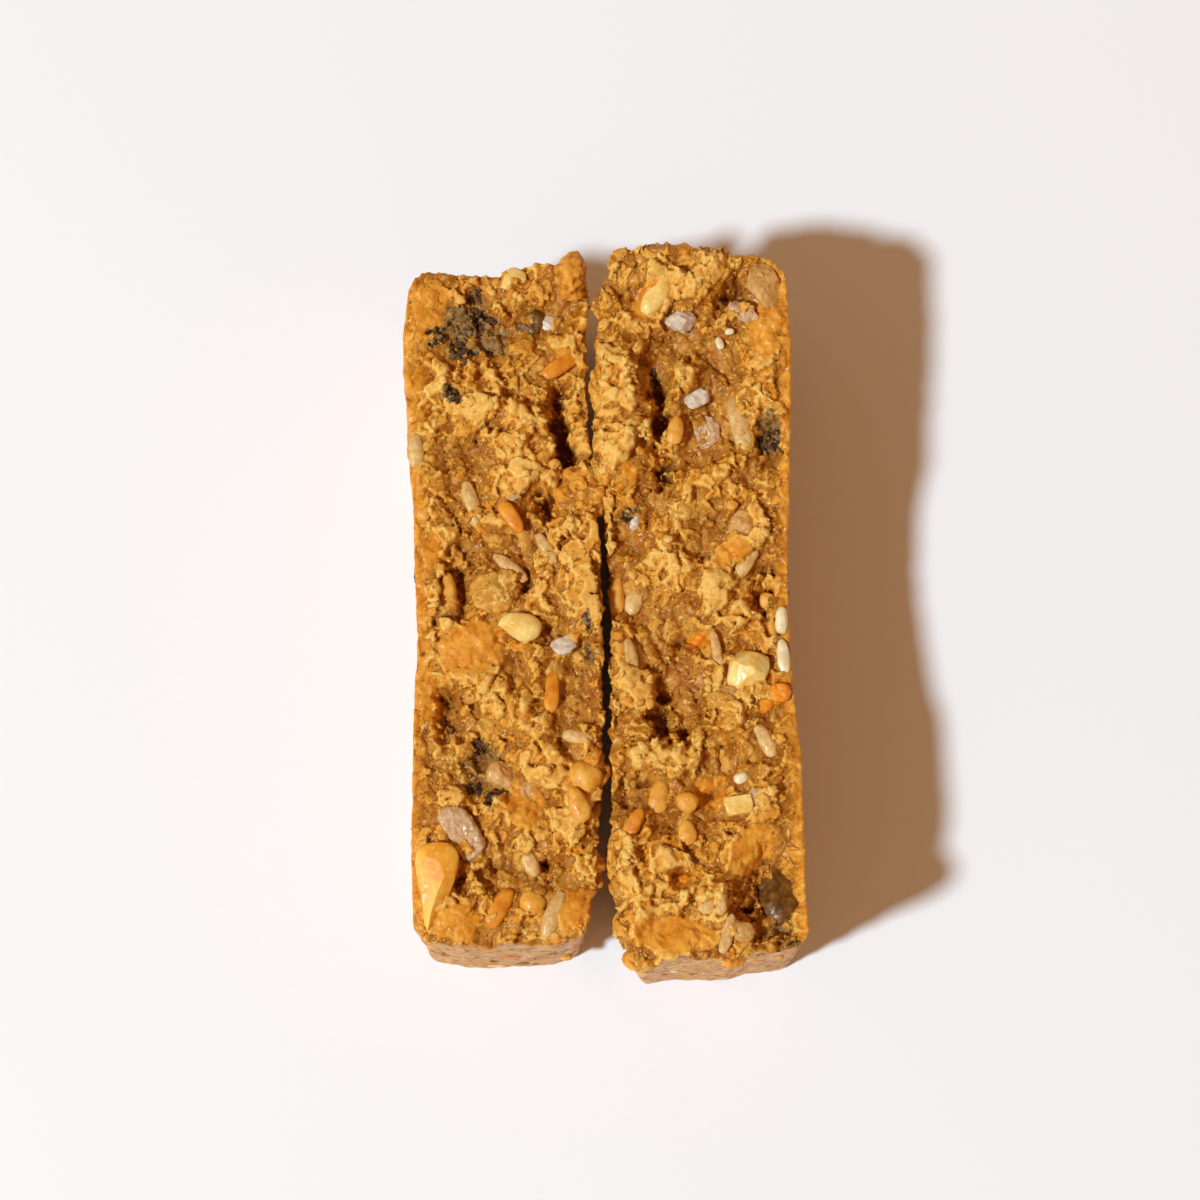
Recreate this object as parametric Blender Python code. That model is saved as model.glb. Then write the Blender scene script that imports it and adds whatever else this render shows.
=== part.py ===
"""A granola bar pulled open down its middle.

The two halves stand side by side with their torn faces up, and a bridge of crumb still joins them.
Units are metres, +Z is up, +Y runs along the bar. The origin is under the middle of the bar.
"""

import math
import random

import bmesh
import bpy
from mathutils import Matrix, Vector, noise

# Driving dimensions
HALF_HEIGHT = 0.0250  # from the table to the torn face: half of the bar's width
HALF_THICKNESS = 0.0190  # across one half: the bar's thickness
HALF_LENGTH = 0.0700
CORNER_RADIUS = 0.0019
CELL = 0.00122  # spacing of the facets on the torn face

# Where each edge of a half runs: (place along the edge, place across it)
LEFT_HALF = {
    "outer": [(0.034, -0.0195), (0.027, -0.0199), (0.018, -0.0194), (0.008, -0.0187), (-0.004, -0.0183),
              (-0.014, -0.0186), (-0.027, -0.0186), (-0.034, -0.0184)],
    "inner": [(0.034, -0.0014), (0.029, -0.0014), (0.018, -0.0013), (0.010, -0.0007), (0.004, 0.0001),
              (-0.010, 0.0003), (-0.018, 0.0003), (-0.026, -0.0002), (-0.034, -0.0010)],
    "far": [(-0.0195, 0.0335), (-0.0160, 0.0340), (-0.0115, 0.0332), (-0.0070, 0.0343), (-0.0020, 0.0350)],
    "near": [(-0.0185, -0.0339), (-0.0130, -0.0347), (-0.0050, -0.0345), (-0.0010, -0.0337)],
    "swell": [(0.035, 0.0006), (0.012, 0.0002), (-0.008, -0.0006), (-0.035, 0.0004)],
    "inner_side": 1,
}
RIGHT_HALF = {
    "outer": [(0.034, 0.0188), (0.026, 0.0193), (0.014, 0.0191), (0.002, 0.0189), (-0.008, 0.0193),
              (-0.016, 0.0200), (-0.028, 0.0202), (-0.034, 0.0205)],
    "inner": [(0.035, 0.0013), (0.031, 0.0000), (0.024, -0.0004), (0.016, -0.0006), (0.010, 0.0002),
              (0.003, 0.0010), (-0.010, 0.0011), (-0.026, 0.0012), (-0.035, 0.0028)],
    "far": [(0.0010, 0.0350), (0.0050, 0.0365), (0.0100, 0.0361), (0.0150, 0.0353), (0.0190, 0.0347)],
    "near": [(0.0025, -0.0368), (0.0080, -0.0360), (0.0125, -0.0360), (0.0155, -0.0354), (0.0205, -0.0348)],
    "swell": [(0.035, 0.0014), (0.018, 0.0008), (0.000, -0.0018), (-0.008, -0.0014), (-0.020, 0.0006),
              (-0.035, 0.0012)],
    "inner_side": -1,
}

# Levels of the sides above the table, and how far the outline is drawn in there: the torn rim stands out
SIDE_LEVELS = {0.0212: 0.00010, 0.0120: 0.00030, 0.0006: 0.00030, 0.0000: 0.00075}
INNER_DRAFT = 0.0009  # the sides that face each other lean away from the gap towards the table
SIDE_WAVE = 0.00025
OUTER_STRAY = 0.00030  # how ragged the torn rim is
INNER_STRAY = 0.00045
KEPT_SHARE = 0.90  # of the triangles, once the smallest slivers of the union are merged away

PLATES = [(0.0042, 0.00075), (0.0022, 0.00055)]  # broken crumb on the torn faces: (width, rise)

# Pits and crests of the torn faces: (x, y, half length, half width, turn in degrees, rise)
PITS_AND_CRESTS = [
    (-0.0034, 0.0175, 0.0034, 0.0011, 97, -0.0042),
    (-0.0037, 0.0214, 0.0016, 0.0012, 100, -0.0028),
    (-0.0052, 0.0099, 0.0014, 0.0012, 20, -0.0032),
    (-0.0145, 0.0041, 0.0022, 0.0014, 60, -0.0022),
    (-0.0137, 0.0010, 0.0018, 0.0008, 90, -0.0018),
    (-0.0073, 0.0020, 0.0013, 0.0008, 110, -0.0018),
    (-0.0158, -0.0113, 0.0034, 0.0011, 100, -0.0022),
    (-0.0125, 0.0275, 0.0038, 0.0028, 140, -0.0015),
    (-0.0150, 0.0206, 0.0018, 0.0011, 100, -0.0014),
    (-0.0128, 0.0100, 0.0042, 0.0024, 95, -0.0011),
    (-0.0115, -0.0165, 0.0040, 0.0026, 110, -0.0016),
    (-0.0128, -0.0245, 0.0030, 0.0020, 120, -0.0010),
    (-0.0062, -0.0270, 0.0020, 0.0014, 60, -0.0012),
    (-0.0081, 0.0135, 0.0034, 0.0022, 30, 0.0014),
    (-0.0112, 0.0192, 0.0036, 0.0018, 150, 0.0010),
    (-0.0180, 0.0240, 0.0060, 0.0014, 88, 0.0008),
    (-0.0106, 0.0005, 0.0025, 0.0021, 0, 0.0008),
    (-0.0135, -0.0046, 0.0030, 0.0022, 20, 0.0007),
    (-0.0066, -0.0140, 0.0048, 0.0020, 130, 0.0010),
    (-0.0040, -0.0260, 0.0040, 0.0018, 75, 0.0008),
    (-0.0130, -0.0315, 0.0030, 0.0016, 10, 0.0009),
    (0.0058, 0.0212, 0.0030, 0.0010, 95, -0.0034),
    (0.0064, 0.0150, 0.0040, 0.0011, 95, -0.0040),
    (0.0088, 0.0120, 0.0030, 0.0022, 120, -0.0022),
    (0.0125, 0.0248, 0.0050, 0.0036, 100, -0.0010),
    (0.0130, 0.0318, 0.0022, 0.0011, 80, -0.0018),
    (0.0172, 0.0160, 0.0026, 0.0011, 100, -0.0020),
    (0.0165, 0.0012, 0.0026, 0.0012, 70, -0.0024),
    (0.0061, -0.0113, 0.0028, 0.0010, 95, -0.0025),
    (0.0084, -0.0139, 0.0014, 0.0009, 90, -0.0020),
    (0.0042, -0.0192, 0.0022, 0.0014, 30, -0.0018),
    (0.0111, -0.0197, 0.0017, 0.0013, 60, -0.0018),
    (0.0176, -0.0293, 0.0034, 0.0021, 105, -0.0026),
    (0.0082, -0.0281, 0.0014, 0.0011, 20, -0.0016),
    (0.0026, 0.0185, 0.0080, 0.0022, 93, 0.0015),
    (0.0050, 0.0335, 0.0050, 0.0018, 10, 0.0010),
    (0.0140, 0.0108, 0.0042, 0.0022, 140, 0.0011),
    (0.0060, 0.0035, 0.0050, 0.0020, 115, 0.0010),
    (0.0125, -0.0020, 0.0045, 0.0022, 50, 0.0012),
    (0.0120, -0.0140, 0.0055, 0.0024, 40, 0.0010),
    (0.0045, -0.0160, 0.0030, 0.0016, 30, 0.0009),
    (0.0080, -0.0330, 0.0050, 0.0020, 170, 0.0009),
]

# Crags that hang over the rims, and the bridge: (x, y, height of the centre, half sizes x, y, z)
CRAGS = [
    (-0.0016, 0.0112, 0.0243, 0.0029, 0.0025, 0.0019),
    (0.0010, 0.0128, 0.0244, 0.0021, 0.0024, 0.0018),
    (-0.0029, 0.0335, 0.0252, 0.0017, 0.0024, 0.0021),
    (-0.0086, 0.0328, 0.0250, 0.0020, 0.0015, 0.0014),
    (-0.0006, -0.0170, 0.0243, 0.0014, 0.0020, 0.0016),
    (-0.0009, -0.0272, 0.0242, 0.0013, 0.0022, 0.0015),
    (0.0024, 0.0346, 0.0258, 0.0016, 0.0016, 0.0013),
    (0.0070, 0.0355, 0.0262, 0.0026, 0.0012, 0.0014),
    (0.0118, 0.0350, 0.0258, 0.0016, 0.0012, 0.0013),
    (0.0006, 0.0306, 0.0255, 0.0014, 0.0017, 0.0012),
    (0.0002, 0.0215, 0.0258, 0.0013, 0.0024, 0.0014),
    (0.0015, -0.0262, 0.0232, 0.0008, 0.0030, 0.0028),
    (0.0026, -0.0330, 0.0246, 0.0013, 0.0018, 0.0013),
    (0.0131, -0.0353, 0.0244, 0.0013, 0.0014, 0.0017),
    (0.0040, -0.0360, 0.0250, 0.0018, 0.0011, 0.0014),
]

# Fruit, nuts and grains that show: half sizes along, across and up
SIZES = {
    "shard": (0.0040, 0.0023, 0.0012),
    "fruit": (0.0026, 0.0018, 0.0012),
    "nut": (0.0023, 0.0018, 0.0014),
    "flax": (0.0023, 0.0009, 0.0008),
    "rice": (0.0027, 0.0009, 0.0008),
    "chip": (0.0015, 0.0012, 0.0008),
    "sesame": (0.0017, 0.0011, 0.0008),
}
# The largest ones: (kind, x, y, turn in degrees)
INCLUSIONS = [
    ("fruit", -0.0128, 0.0272, 140),
    ("fruit", -0.0150, 0.0205, 100),
    ("fruit", -0.0119, -0.0148, 80),
    ("fruit", -0.0112, -0.0190, 160),
    ("fruit", 0.0172, 0.0162, 100),
    ("fruit", 0.0030, 0.0088, 80),
    ("fruit", 0.0177, -0.0292, 105),
    ("nut", -0.0071, 0.0287, 60),
    ("nut", -0.0174, 0.0312, 10),
    ("nut", -0.0080, -0.0027, 165),
    ("nut", -0.0096, -0.0176, 140),
    ("nut", -0.0134, -0.0238, 130),
    ("nut", 0.0056, 0.0308, 55),
    ("nut", 0.0167, 0.0320, 110),
    ("nut", 0.0147, -0.0069, 60),
    ("nut", 0.0142, 0.0077, 70),
    ("nut", 0.0141, -0.0332, 0),
    ("shard", -0.0160, -0.0274, 70),
    ("flax", -0.0038, 0.0241, 37),
    ("flax", -0.0089, 0.0083, 125),
    ("flax", -0.0048, -0.0091, 88),
    ("flax", -0.0099, -0.0308, 62),
    ("flax", 0.0032, -0.0228, 62),
]
PROUD = {"fruit": -0.0002, "nut": -0.0003, "shard": 0.0003}  # how far a centre lies above the torn face
PROUD_GRAIN = 0.0003

# The small grains are spread evenly between the large pieces
SMALL_GRAINS = ("sesame", "rice", "chip")
GRAINS_PER_HALF = 12
TRIES_PER_GRAIN = 12


def clear_scene():
    for obj in list(bpy.data.objects):
        bpy.data.objects.remove(obj)


def along(stations, place):
    """The edge's place across at a place along it, joined smoothly between its stations."""
    ordered = sorted(stations)
    if place <= ordered[0][0]:
        return ordered[0][1]
    for (start, first), (end, second) in zip(ordered, ordered[1:]):
        if place <= end:
            share = (place - start) / (end - start)
            share = share * share * (3 - 2 * share)
            return first + (second - first) * share
    return ordered[-1][1]


def rounded(across, lengthwise):
    """Draws a point of the plan rectangle in where its corner is round."""
    over = Vector((abs(across) - HALF_THICKNESS / 2, abs(lengthwise) - HALF_LENGTH / 2))
    over += Vector((CORNER_RADIUS, CORNER_RADIUS))
    if min(over) <= 0:
        return across, lengthwise
    over *= 1 - max(over) / over.length
    return across - math.copysign(over.x, across), lengthwise - math.copysign(over.y, lengthwise)


def plan(half, across, lengthwise):
    """Where a point of the plain rectangle lies in the half's real outline."""
    across, lengthwise = rounded(across, lengthwise)
    s = 0.5 + across / HALF_THICKNESS
    t = 0.5 + lengthwise / HALF_LENGTH
    if half["inner_side"] < 0:
        west, east = half["inner"], half["outer"]
    else:
        west, east = half["outer"], half["inner"]
    x = along(west, lengthwise) * (1 - s) + along(east, lengthwise) * s
    y = along(half["near"], x) * (1 - t) + along(half["far"], x) * t
    return x, y


def plates(x, y, size, rise):
    """Broken crumb: each cell of the pattern is a small plate with its own level and slope."""
    warp = noise.noise_vector(Vector((x, y, 0)) / (size * 0.6)) * size * 0.35
    spot = Vector((x + warp.x, y + warp.y, 0)) / size
    _, centres = noise.voronoi(spot)
    toss = noise.cell_vector(centres[0]) - Vector((0.5, 0.5, 0.5))
    lean = (spot - centres[0]).dot(toss)
    return rise * (toss.z * 2 + lean)


def torn_height(half, x, y):
    """Height of the torn face above the table."""
    z = HALF_HEIGHT + along(half["swell"], y)
    for px, py, length, width, turn, rise in PITS_AND_CRESTS:
        c, s = math.cos(math.radians(turn)), math.sin(math.radians(turn))
        dx, dy = x - px, y - py
        spread = ((dx * c + dy * s) / length) ** 2 + ((dy * c - dx * s) / width) ** 2
        z += rise * math.exp(-(spread ** 1.5) * 0.7)
    for size, rise in PLATES:
        z += plates(x + size * 20, y, size, rise)
    return z


def half_core(name, half, home):
    """One half: the torn face is a grid, its rim is drawn down to the table, and the foot is flat."""
    columns = round(HALF_THICKNESS / CELL)
    rows = round(HALF_LENGTH / CELL)
    bm = bmesh.new()
    bmesh.ops.create_grid(bm, x_segments=columns, y_segments=rows, size=0.5)
    for v in bm.verts:
        v.co = Vector((v.co.x * HALF_THICKNESS, v.co.y * HALF_LENGTH, 1))
    rim = [e for e in bm.edges if e.is_boundary]
    torn_rim = {v for e in rim for v in e.verts}
    for level in SIDE_LEVELS:
        grown = bmesh.ops.extrude_edge_only(bm, edges=rim)["geom"]
        rim = [g for g in grown if isinstance(g, bmesh.types.BMEdge)]
        for v in (g for g in grown if isinstance(g, bmesh.types.BMVert)):
            v.co.z = level
    bmesh.ops.contextual_create(bm, geom=rim)
    centre = sum(along(half[edge], 0) for edge in ("outer", "inner")) / 2
    for v in bm.verts:
        across, lengthwise, level = v.co
        x, y = plan(half, across, lengthwise)
        if level == 1:
            v.co = Vector((x, y, torn_height(half, x, y)))
            if v in torn_rim:
                inner = half["inner_side"] * across > 0.45 * HALF_THICKNESS
                stray = noise.noise_vector(v.co / 0.0022) * (INNER_STRAY if inner else OUTER_STRAY)
                v.co += Vector((stray.x, stray.y, -0.0003))
        else:
            lowered = 1 - level / HALF_HEIGHT
            leaning = max(0.0, half["inner_side"] * across / HALF_THICKNESS * 2)
            x -= half["inner_side"] * INNER_DRAFT * lowered * leaning
            wave = noise.noise_vector(Vector((x, y, level)) / 0.007) * SIDE_WAVE
            inset = SIDE_LEVELS[min(SIDE_LEVELS, key=lambda z: abs(z - level))]
            x += (centre - x) * inset / (HALF_THICKNESS / 2)
            y -= math.copysign(inset, y)
            v.co = Vector((x + wave.x, y + wave.y, level))
    bmesh.ops.recalc_face_normals(bm, faces=bm.faces)
    return new_object(name, bm, home)


def crag(name, place, half_sizes, seed, home):
    """A rough lump with a few flats, like a broken corner of crumb."""
    bm = bmesh.new()
    bmesh.ops.create_icosphere(bm, subdivisions=2, radius=1)
    for v in bm.verts:
        v.co *= 1 + 0.22 * noise.noise(v.co * 1.6 + Vector((seed, 0, 0)))
    bmesh.ops.scale(bm, vec=half_sizes, verts=bm.verts)
    bmesh.ops.translate(bm, vec=place, verts=bm.verts)
    return new_object(name, bm, home)


def grain_places(half, taken, draw):
    """Each small grain takes the one of a few random places that lies farthest from all the others."""
    for _ in range(GRAINS_PER_HALF):
        tries = []
        for _ in range(TRIES_PER_GRAIN):
            across = draw.uniform(-0.40, 0.40) * HALF_THICKNESS
            lengthwise = draw.uniform(-0.46, 0.46) * HALF_LENGTH
            tries.append(Vector(plan(half, across, lengthwise)))
        best = max(tries, key=lambda place: min((place - other).length for other in taken))
        taken.append(best)
        yield best


def inclusion(name, kind, x, y, turn, tip, home):
    """A nut, fruit or grain bedded in the torn face. The small grains have a pointed and a blunt end."""
    bm = bmesh.new()
    if kind in ("nut", "fruit", "shard"):
        bmesh.ops.create_icosphere(bm, subdivisions=2, radius=1)
        for v in bm.verts:
            v.co *= 1 + 0.18 * noise.noise(v.co * 1.3 + Vector((x * 900, y * 900, 0)))
    else:
        bmesh.ops.create_uvsphere(bm, u_segments=6, v_segments=4, radius=1)
        bmesh.ops.rotate(bm, cent=(0, 0, 0), matrix=Matrix.Rotation(math.pi / 2, 3, "Y"), verts=bm.verts)
        if kind == "sesame":
            for v in bm.verts:
                v.co.y *= 1 - 0.35 * v.co.x
    bmesh.ops.scale(bm, vec=SIZES[kind], verts=bm.verts)
    turned = Matrix.Rotation(math.radians(turn), 3, "Z") @ Matrix.Rotation(math.radians(tip), 3, "Y")
    bmesh.ops.rotate(bm, cent=(0, 0, 0), matrix=turned, verts=bm.verts)
    z = torn_height(LEFT_HALF if x < 0.0005 else RIGHT_HALF, x, y)
    bmesh.ops.translate(bm, vec=(x, y, z + PROUD.get(kind, PROUD_GRAIN)), verts=bm.verts)
    return new_object(name, bm, home)


def new_collection(name):
    collection = bpy.data.collections.new(name)
    bpy.context.scene.collection.children.link(collection)
    return collection


def new_object(name, bm, home):
    bmesh.ops.triangulate(bm, faces=bm.faces)
    mesh = bpy.data.meshes.new(name)
    bm.to_mesh(mesh)
    bm.free()
    obj = bpy.data.objects.new(name, mesh)
    home.objects.link(obj)
    return obj


def join_all(base, pieces):
    """One Boolean union of the base with a collection, applied, and the collection's objects removed."""
    union = base.modifiers.new("union", "BOOLEAN")
    union.operation = "UNION"
    union.operand_type = "COLLECTION"
    union.collection = pieces
    union.solver = "MANIFOLD"
    bpy.context.view_layer.update()
    whole = bpy.data.meshes.new_from_object(base.evaluated_get(bpy.context.evaluated_depsgraph_get()))
    base.modifiers.remove(union)
    base.data = whole
    for obj in list(pieces.objects):
        bpy.data.objects.remove(obj)
    bpy.data.collections.remove(pieces)


def islands(bm):
    """The mesh's separate shells, each a set of faces."""
    left = set(bm.faces)
    while left:
        shell, front = set(), [left.pop()]
        while front:
            face = front.pop()
            shell.add(face)
            for edge in face.edges:
                for other in edge.link_faces:
                    if other in left:
                        left.remove(other)
                        front.append(other)
        yield shell


def keep_outer_shell(obj):
    """Fills hollows that the union sealed and drops loose scraps: only the largest shell stays."""
    bm = bmesh.new()
    bm.from_mesh(obj.data)
    shells = sorted(islands(bm), key=len)
    spare = [face for shell in shells[:-1] for face in shell]
    bmesh.ops.delete(bm, geom=spare, context="FACES")
    bmesh.ops.triangulate(bm, faces=bm.faces)
    bm.to_mesh(obj.data)
    bm.free()


def merge_slivers(obj):
    slim = obj.modifiers.new("slim", "DECIMATE")
    slim.ratio = KEPT_SHARE
    bpy.context.view_layer.update()
    slimmed = bpy.data.meshes.new_from_object(obj.evaluated_get(bpy.context.evaluated_depsgraph_get()))
    obj.modifiers.remove(slim)
    obj.data = slimmed


def centre_over_origin(obj):
    corners = [Vector(c) for c in obj.bound_box]
    low = Vector(min(c[i] for c in corners) for i in range(3))
    high = Vector(max(c[i] for c in corners) for i in range(3))
    middle = (low + high) / 2
    obj.data.transform(Matrix.Translation((-middle.x, -middle.y, 0)))


def crumb_material():
    material = bpy.data.materials.new("golden crumb")
    material.use_nodes = True
    shader = material.node_tree.nodes["Principled BSDF"]
    shader.inputs["Base Color"].default_value = (0.52, 0.27, 0.085, 1)
    shader.inputs["Roughness"].default_value = 0.55
    shader.inputs["Metallic"].default_value = 0.0
    return material


def main():
    clear_scene()
    noise.seed_set(5)
    draw = random.Random(11)
    bar = half_core("granola_bar", LEFT_HALF, new_collection("granola_bar"))
    pieces = new_collection("pieces_to_join")
    half_core("right_half", RIGHT_HALF, pieces)
    for i, (x, y, z, *half_sizes) in enumerate(CRAGS):
        crag(f"crag_{i}", (x, y, z), half_sizes, i * 3.7, pieces)
    bedded = list(INCLUSIONS)
    taken = [Vector((x, y)) for _, x, y, _ in INCLUSIONS]
    for half in (LEFT_HALF, RIGHT_HALF):
        for place in grain_places(half, taken, draw):
            bedded.append((draw.choice(SMALL_GRAINS), place.x, place.y, draw.uniform(0, 180)))
    for i, (kind, x, y, turn) in enumerate(bedded):
        inclusion(f"{kind}_{i}", kind, x, y, turn, draw.uniform(-14, 14), pieces)
    join_all(bar, pieces)
    keep_outer_shell(bar)
    merge_slivers(bar)
    centre_over_origin(bar)
    bar.data.materials.clear()
    bar.data.materials.append(crumb_material())


main()
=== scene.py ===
import math
import random

import bmesh
import bpy
import numpy as np
from mathutils import Matrix, Vector, noise


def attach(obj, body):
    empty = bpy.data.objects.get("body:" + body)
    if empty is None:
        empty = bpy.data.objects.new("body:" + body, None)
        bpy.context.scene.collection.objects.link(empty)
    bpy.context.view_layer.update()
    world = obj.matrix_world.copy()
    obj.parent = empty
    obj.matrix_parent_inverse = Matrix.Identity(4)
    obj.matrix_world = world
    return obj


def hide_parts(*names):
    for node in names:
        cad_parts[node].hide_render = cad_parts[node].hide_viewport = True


# A granola bar pulled open lengthwise: two halves stand side by side, torn faces up, on a pale floor.
# Lengths in the dictionaries are millimetres. x runs across the bar, y along it, z up.
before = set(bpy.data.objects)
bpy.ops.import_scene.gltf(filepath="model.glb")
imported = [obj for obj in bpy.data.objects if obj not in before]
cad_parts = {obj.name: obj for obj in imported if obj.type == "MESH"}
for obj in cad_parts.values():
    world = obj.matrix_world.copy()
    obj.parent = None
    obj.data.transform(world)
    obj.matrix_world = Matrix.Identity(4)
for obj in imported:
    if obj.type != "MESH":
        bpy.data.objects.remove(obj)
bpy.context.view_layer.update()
mm = 0.001
noise.seed_set(5)
draw = random.Random(29)
barShift = Vector((-0.26, 0.24, 0))  # from the places measured on the torn faces to the middle of the bar
print("frame loaded")


# Shader wiring

class Wire:
    # a shader socket that can be written into sums and products
    def __init__(self, wiring, socket):
        self.wiring = wiring
        self.socket = socket

    def maths(self, operation, first, second):
        return self.wiring.node("ShaderNodeMath", {"operation": operation}, {0: first, 1: second})

    def __add__(self, other):
        return self.maths("ADD", self, other)

    def __radd__(self, other):
        return self.maths("ADD", other, self)

    def __sub__(self, other):
        return self.maths("SUBTRACT", self, other)

    def __rsub__(self, other):
        return self.maths("SUBTRACT", other, self)

    def __mul__(self, other):
        return self.maths("MULTIPLY", self, other)

    def __rmul__(self, other):
        return self.maths("MULTIPLY", other, self)

    def between(self, low, high):
        # 0 at low, 1 at high, smooth in between
        settings = {"interpolation_type": "SMOOTHSTEP"}
        return self.wiring.node("ShaderNodeMapRange", settings, {0: self, 1: low, 2: high})


class Wiring:
    # a tree of shader nodes, and the one way to add a node to it
    def __init__(self, tree):
        self.tree = tree

    def node(self, kind, settings, sockets, output=0):
        made = self.tree.nodes.new(kind)
        for key, value in settings.items():
            setattr(made, key, value)
        for key, value in sockets.items():
            if isinstance(value, Wire):
                self.tree.links.new(value.socket, made.inputs[key])
            else:
                made.inputs[key].default_value = value
        return Wire(self, made.outputs[output])


class Finish(Wiring):
    # one material, its Principled shader, and the nodes that lead to it
    def __init__(self, name, constants):
        self.material = bpy.data.materials.new(name)
        self.material.use_nodes = True
        super().__init__(self.material.node_tree)
        self.shader = self.tree.nodes["Principled BSDF"]
        for socket, value in constants.items():
            self.shader.inputs[socket].default_value = value
        self.place = self.node("ShaderNodeTexCoord", {}, {}, "Object")

    def noise(self, size, detail=3, rough=0.55):
        # size is the width of the pattern's lumps in millimetres
        sockets = {"Vector": self.place, "Scale": 1 / (size * mm), "Detail": detail, "Roughness": rough}
        return self.node("ShaderNodeTexNoise", {}, sockets)

    def cells(self, size, at=None):
        # how far a point is from the middle of its cell, and two random tones of the cell
        sockets = {"Vector": at or self.place, "Scale": 1 / (size * mm)}
        apart = self.node("ShaderNodeTexVoronoi", {}, sockets)
        tone, hue, _ = self.channels(Wire(self, apart.socket.node.outputs["Color"]))
        return apart, tone, hue

    def warped(self, size, reach):
        # places pushed about by noise, so that a pattern's edges wander
        sockets = {"Vector": self.place, "Scale": 1 / (size * mm), "Detail": 3}
        toss = self.node("ShaderNodeTexNoise", {}, sockets, "Color")
        sockets = {0: toss, 1: (reach * mm,) * 3, 2: self.place}
        return self.node("ShaderNodeVectorMath", {"operation": "MULTIPLY_ADD"}, sockets)

    def attribute(self, name, output="Fac"):
        return self.node("ShaderNodeAttribute", {"attribute_name": name}, {}, output)

    def channels(self, colour):
        split = self.node("ShaderNodeSeparateColor", {}, {0: colour}).socket.node
        return [Wire(self, output) for output in split.outputs]

    def mix(self, share, first, second, blend="MIX"):
        settings = {"data_type": "RGBA", "blend_type": blend, "clamp_factor": True}
        return self.node("ShaderNodeMix", settings, {0: share, 6: first, 7: second}, 2)

    def bump(self, height, depth, under=None):
        # depth in millimetres
        sockets = {"Height": height, "Distance": depth * mm, "Strength": 1.0}
        if under:
            sockets["Normal"] = under
        return self.node("ShaderNodeBump", {}, sockets)

    def feed(self, **wires):
        for socket, wire in wires.items():
            self.tree.links.new(wire.socket, self.shader.inputs[socket.replace("_", " ")])
        return self.material


def colour(red, green, blue):
    # from screen values, 0 to 255, to the shader's linear ones
    shares = [c / 255 for c in (red, green, blue)]
    return (*(((c + 0.055) / 1.055) ** 2.4 if c > 0.04 else c / 12.92 for c in shares), 1)


crumbFinish = {
    # colours: the broken crumb, its hollows, paste, fruit stains, the pressed walls, and the painted shade
    # in sunk places
    "crest": colour(226, 152, 50), "gold": colour(220, 138, 26), "pale": colour(240, 188, 96),
    "valley": colour(170, 98, 22), "clay": colour(196, 130, 46), "bean": colour(218, 156, 64),
    "paintedShadeColour": colour(112, 48, 2), "amber": colour(222, 138, 34), "amberLight": colour(238, 168, 62),
    "smear": colour(58, 32, 18), "olive": colour(150, 114, 62),
    "skin": colour(236, 178, 104), "skinDark": colour(200, 140, 72), "oat": colour(246, 206, 146),
    # widths of the patterns
    "broad": 6.0, "patch": 1.7, "speck": 0.5, "lace": 0.8, "grain": 0.40, "grit": 0.2, "packed": 2.3,
    # depths of the bumps
    "packedDepth": 0.24, "laceDepth": 0.075, "gritDepth": 0.045,
    "brightness": 0.965, "rough": 0.58, "wet": 0.08, "dots": 0.5,
}


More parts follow.
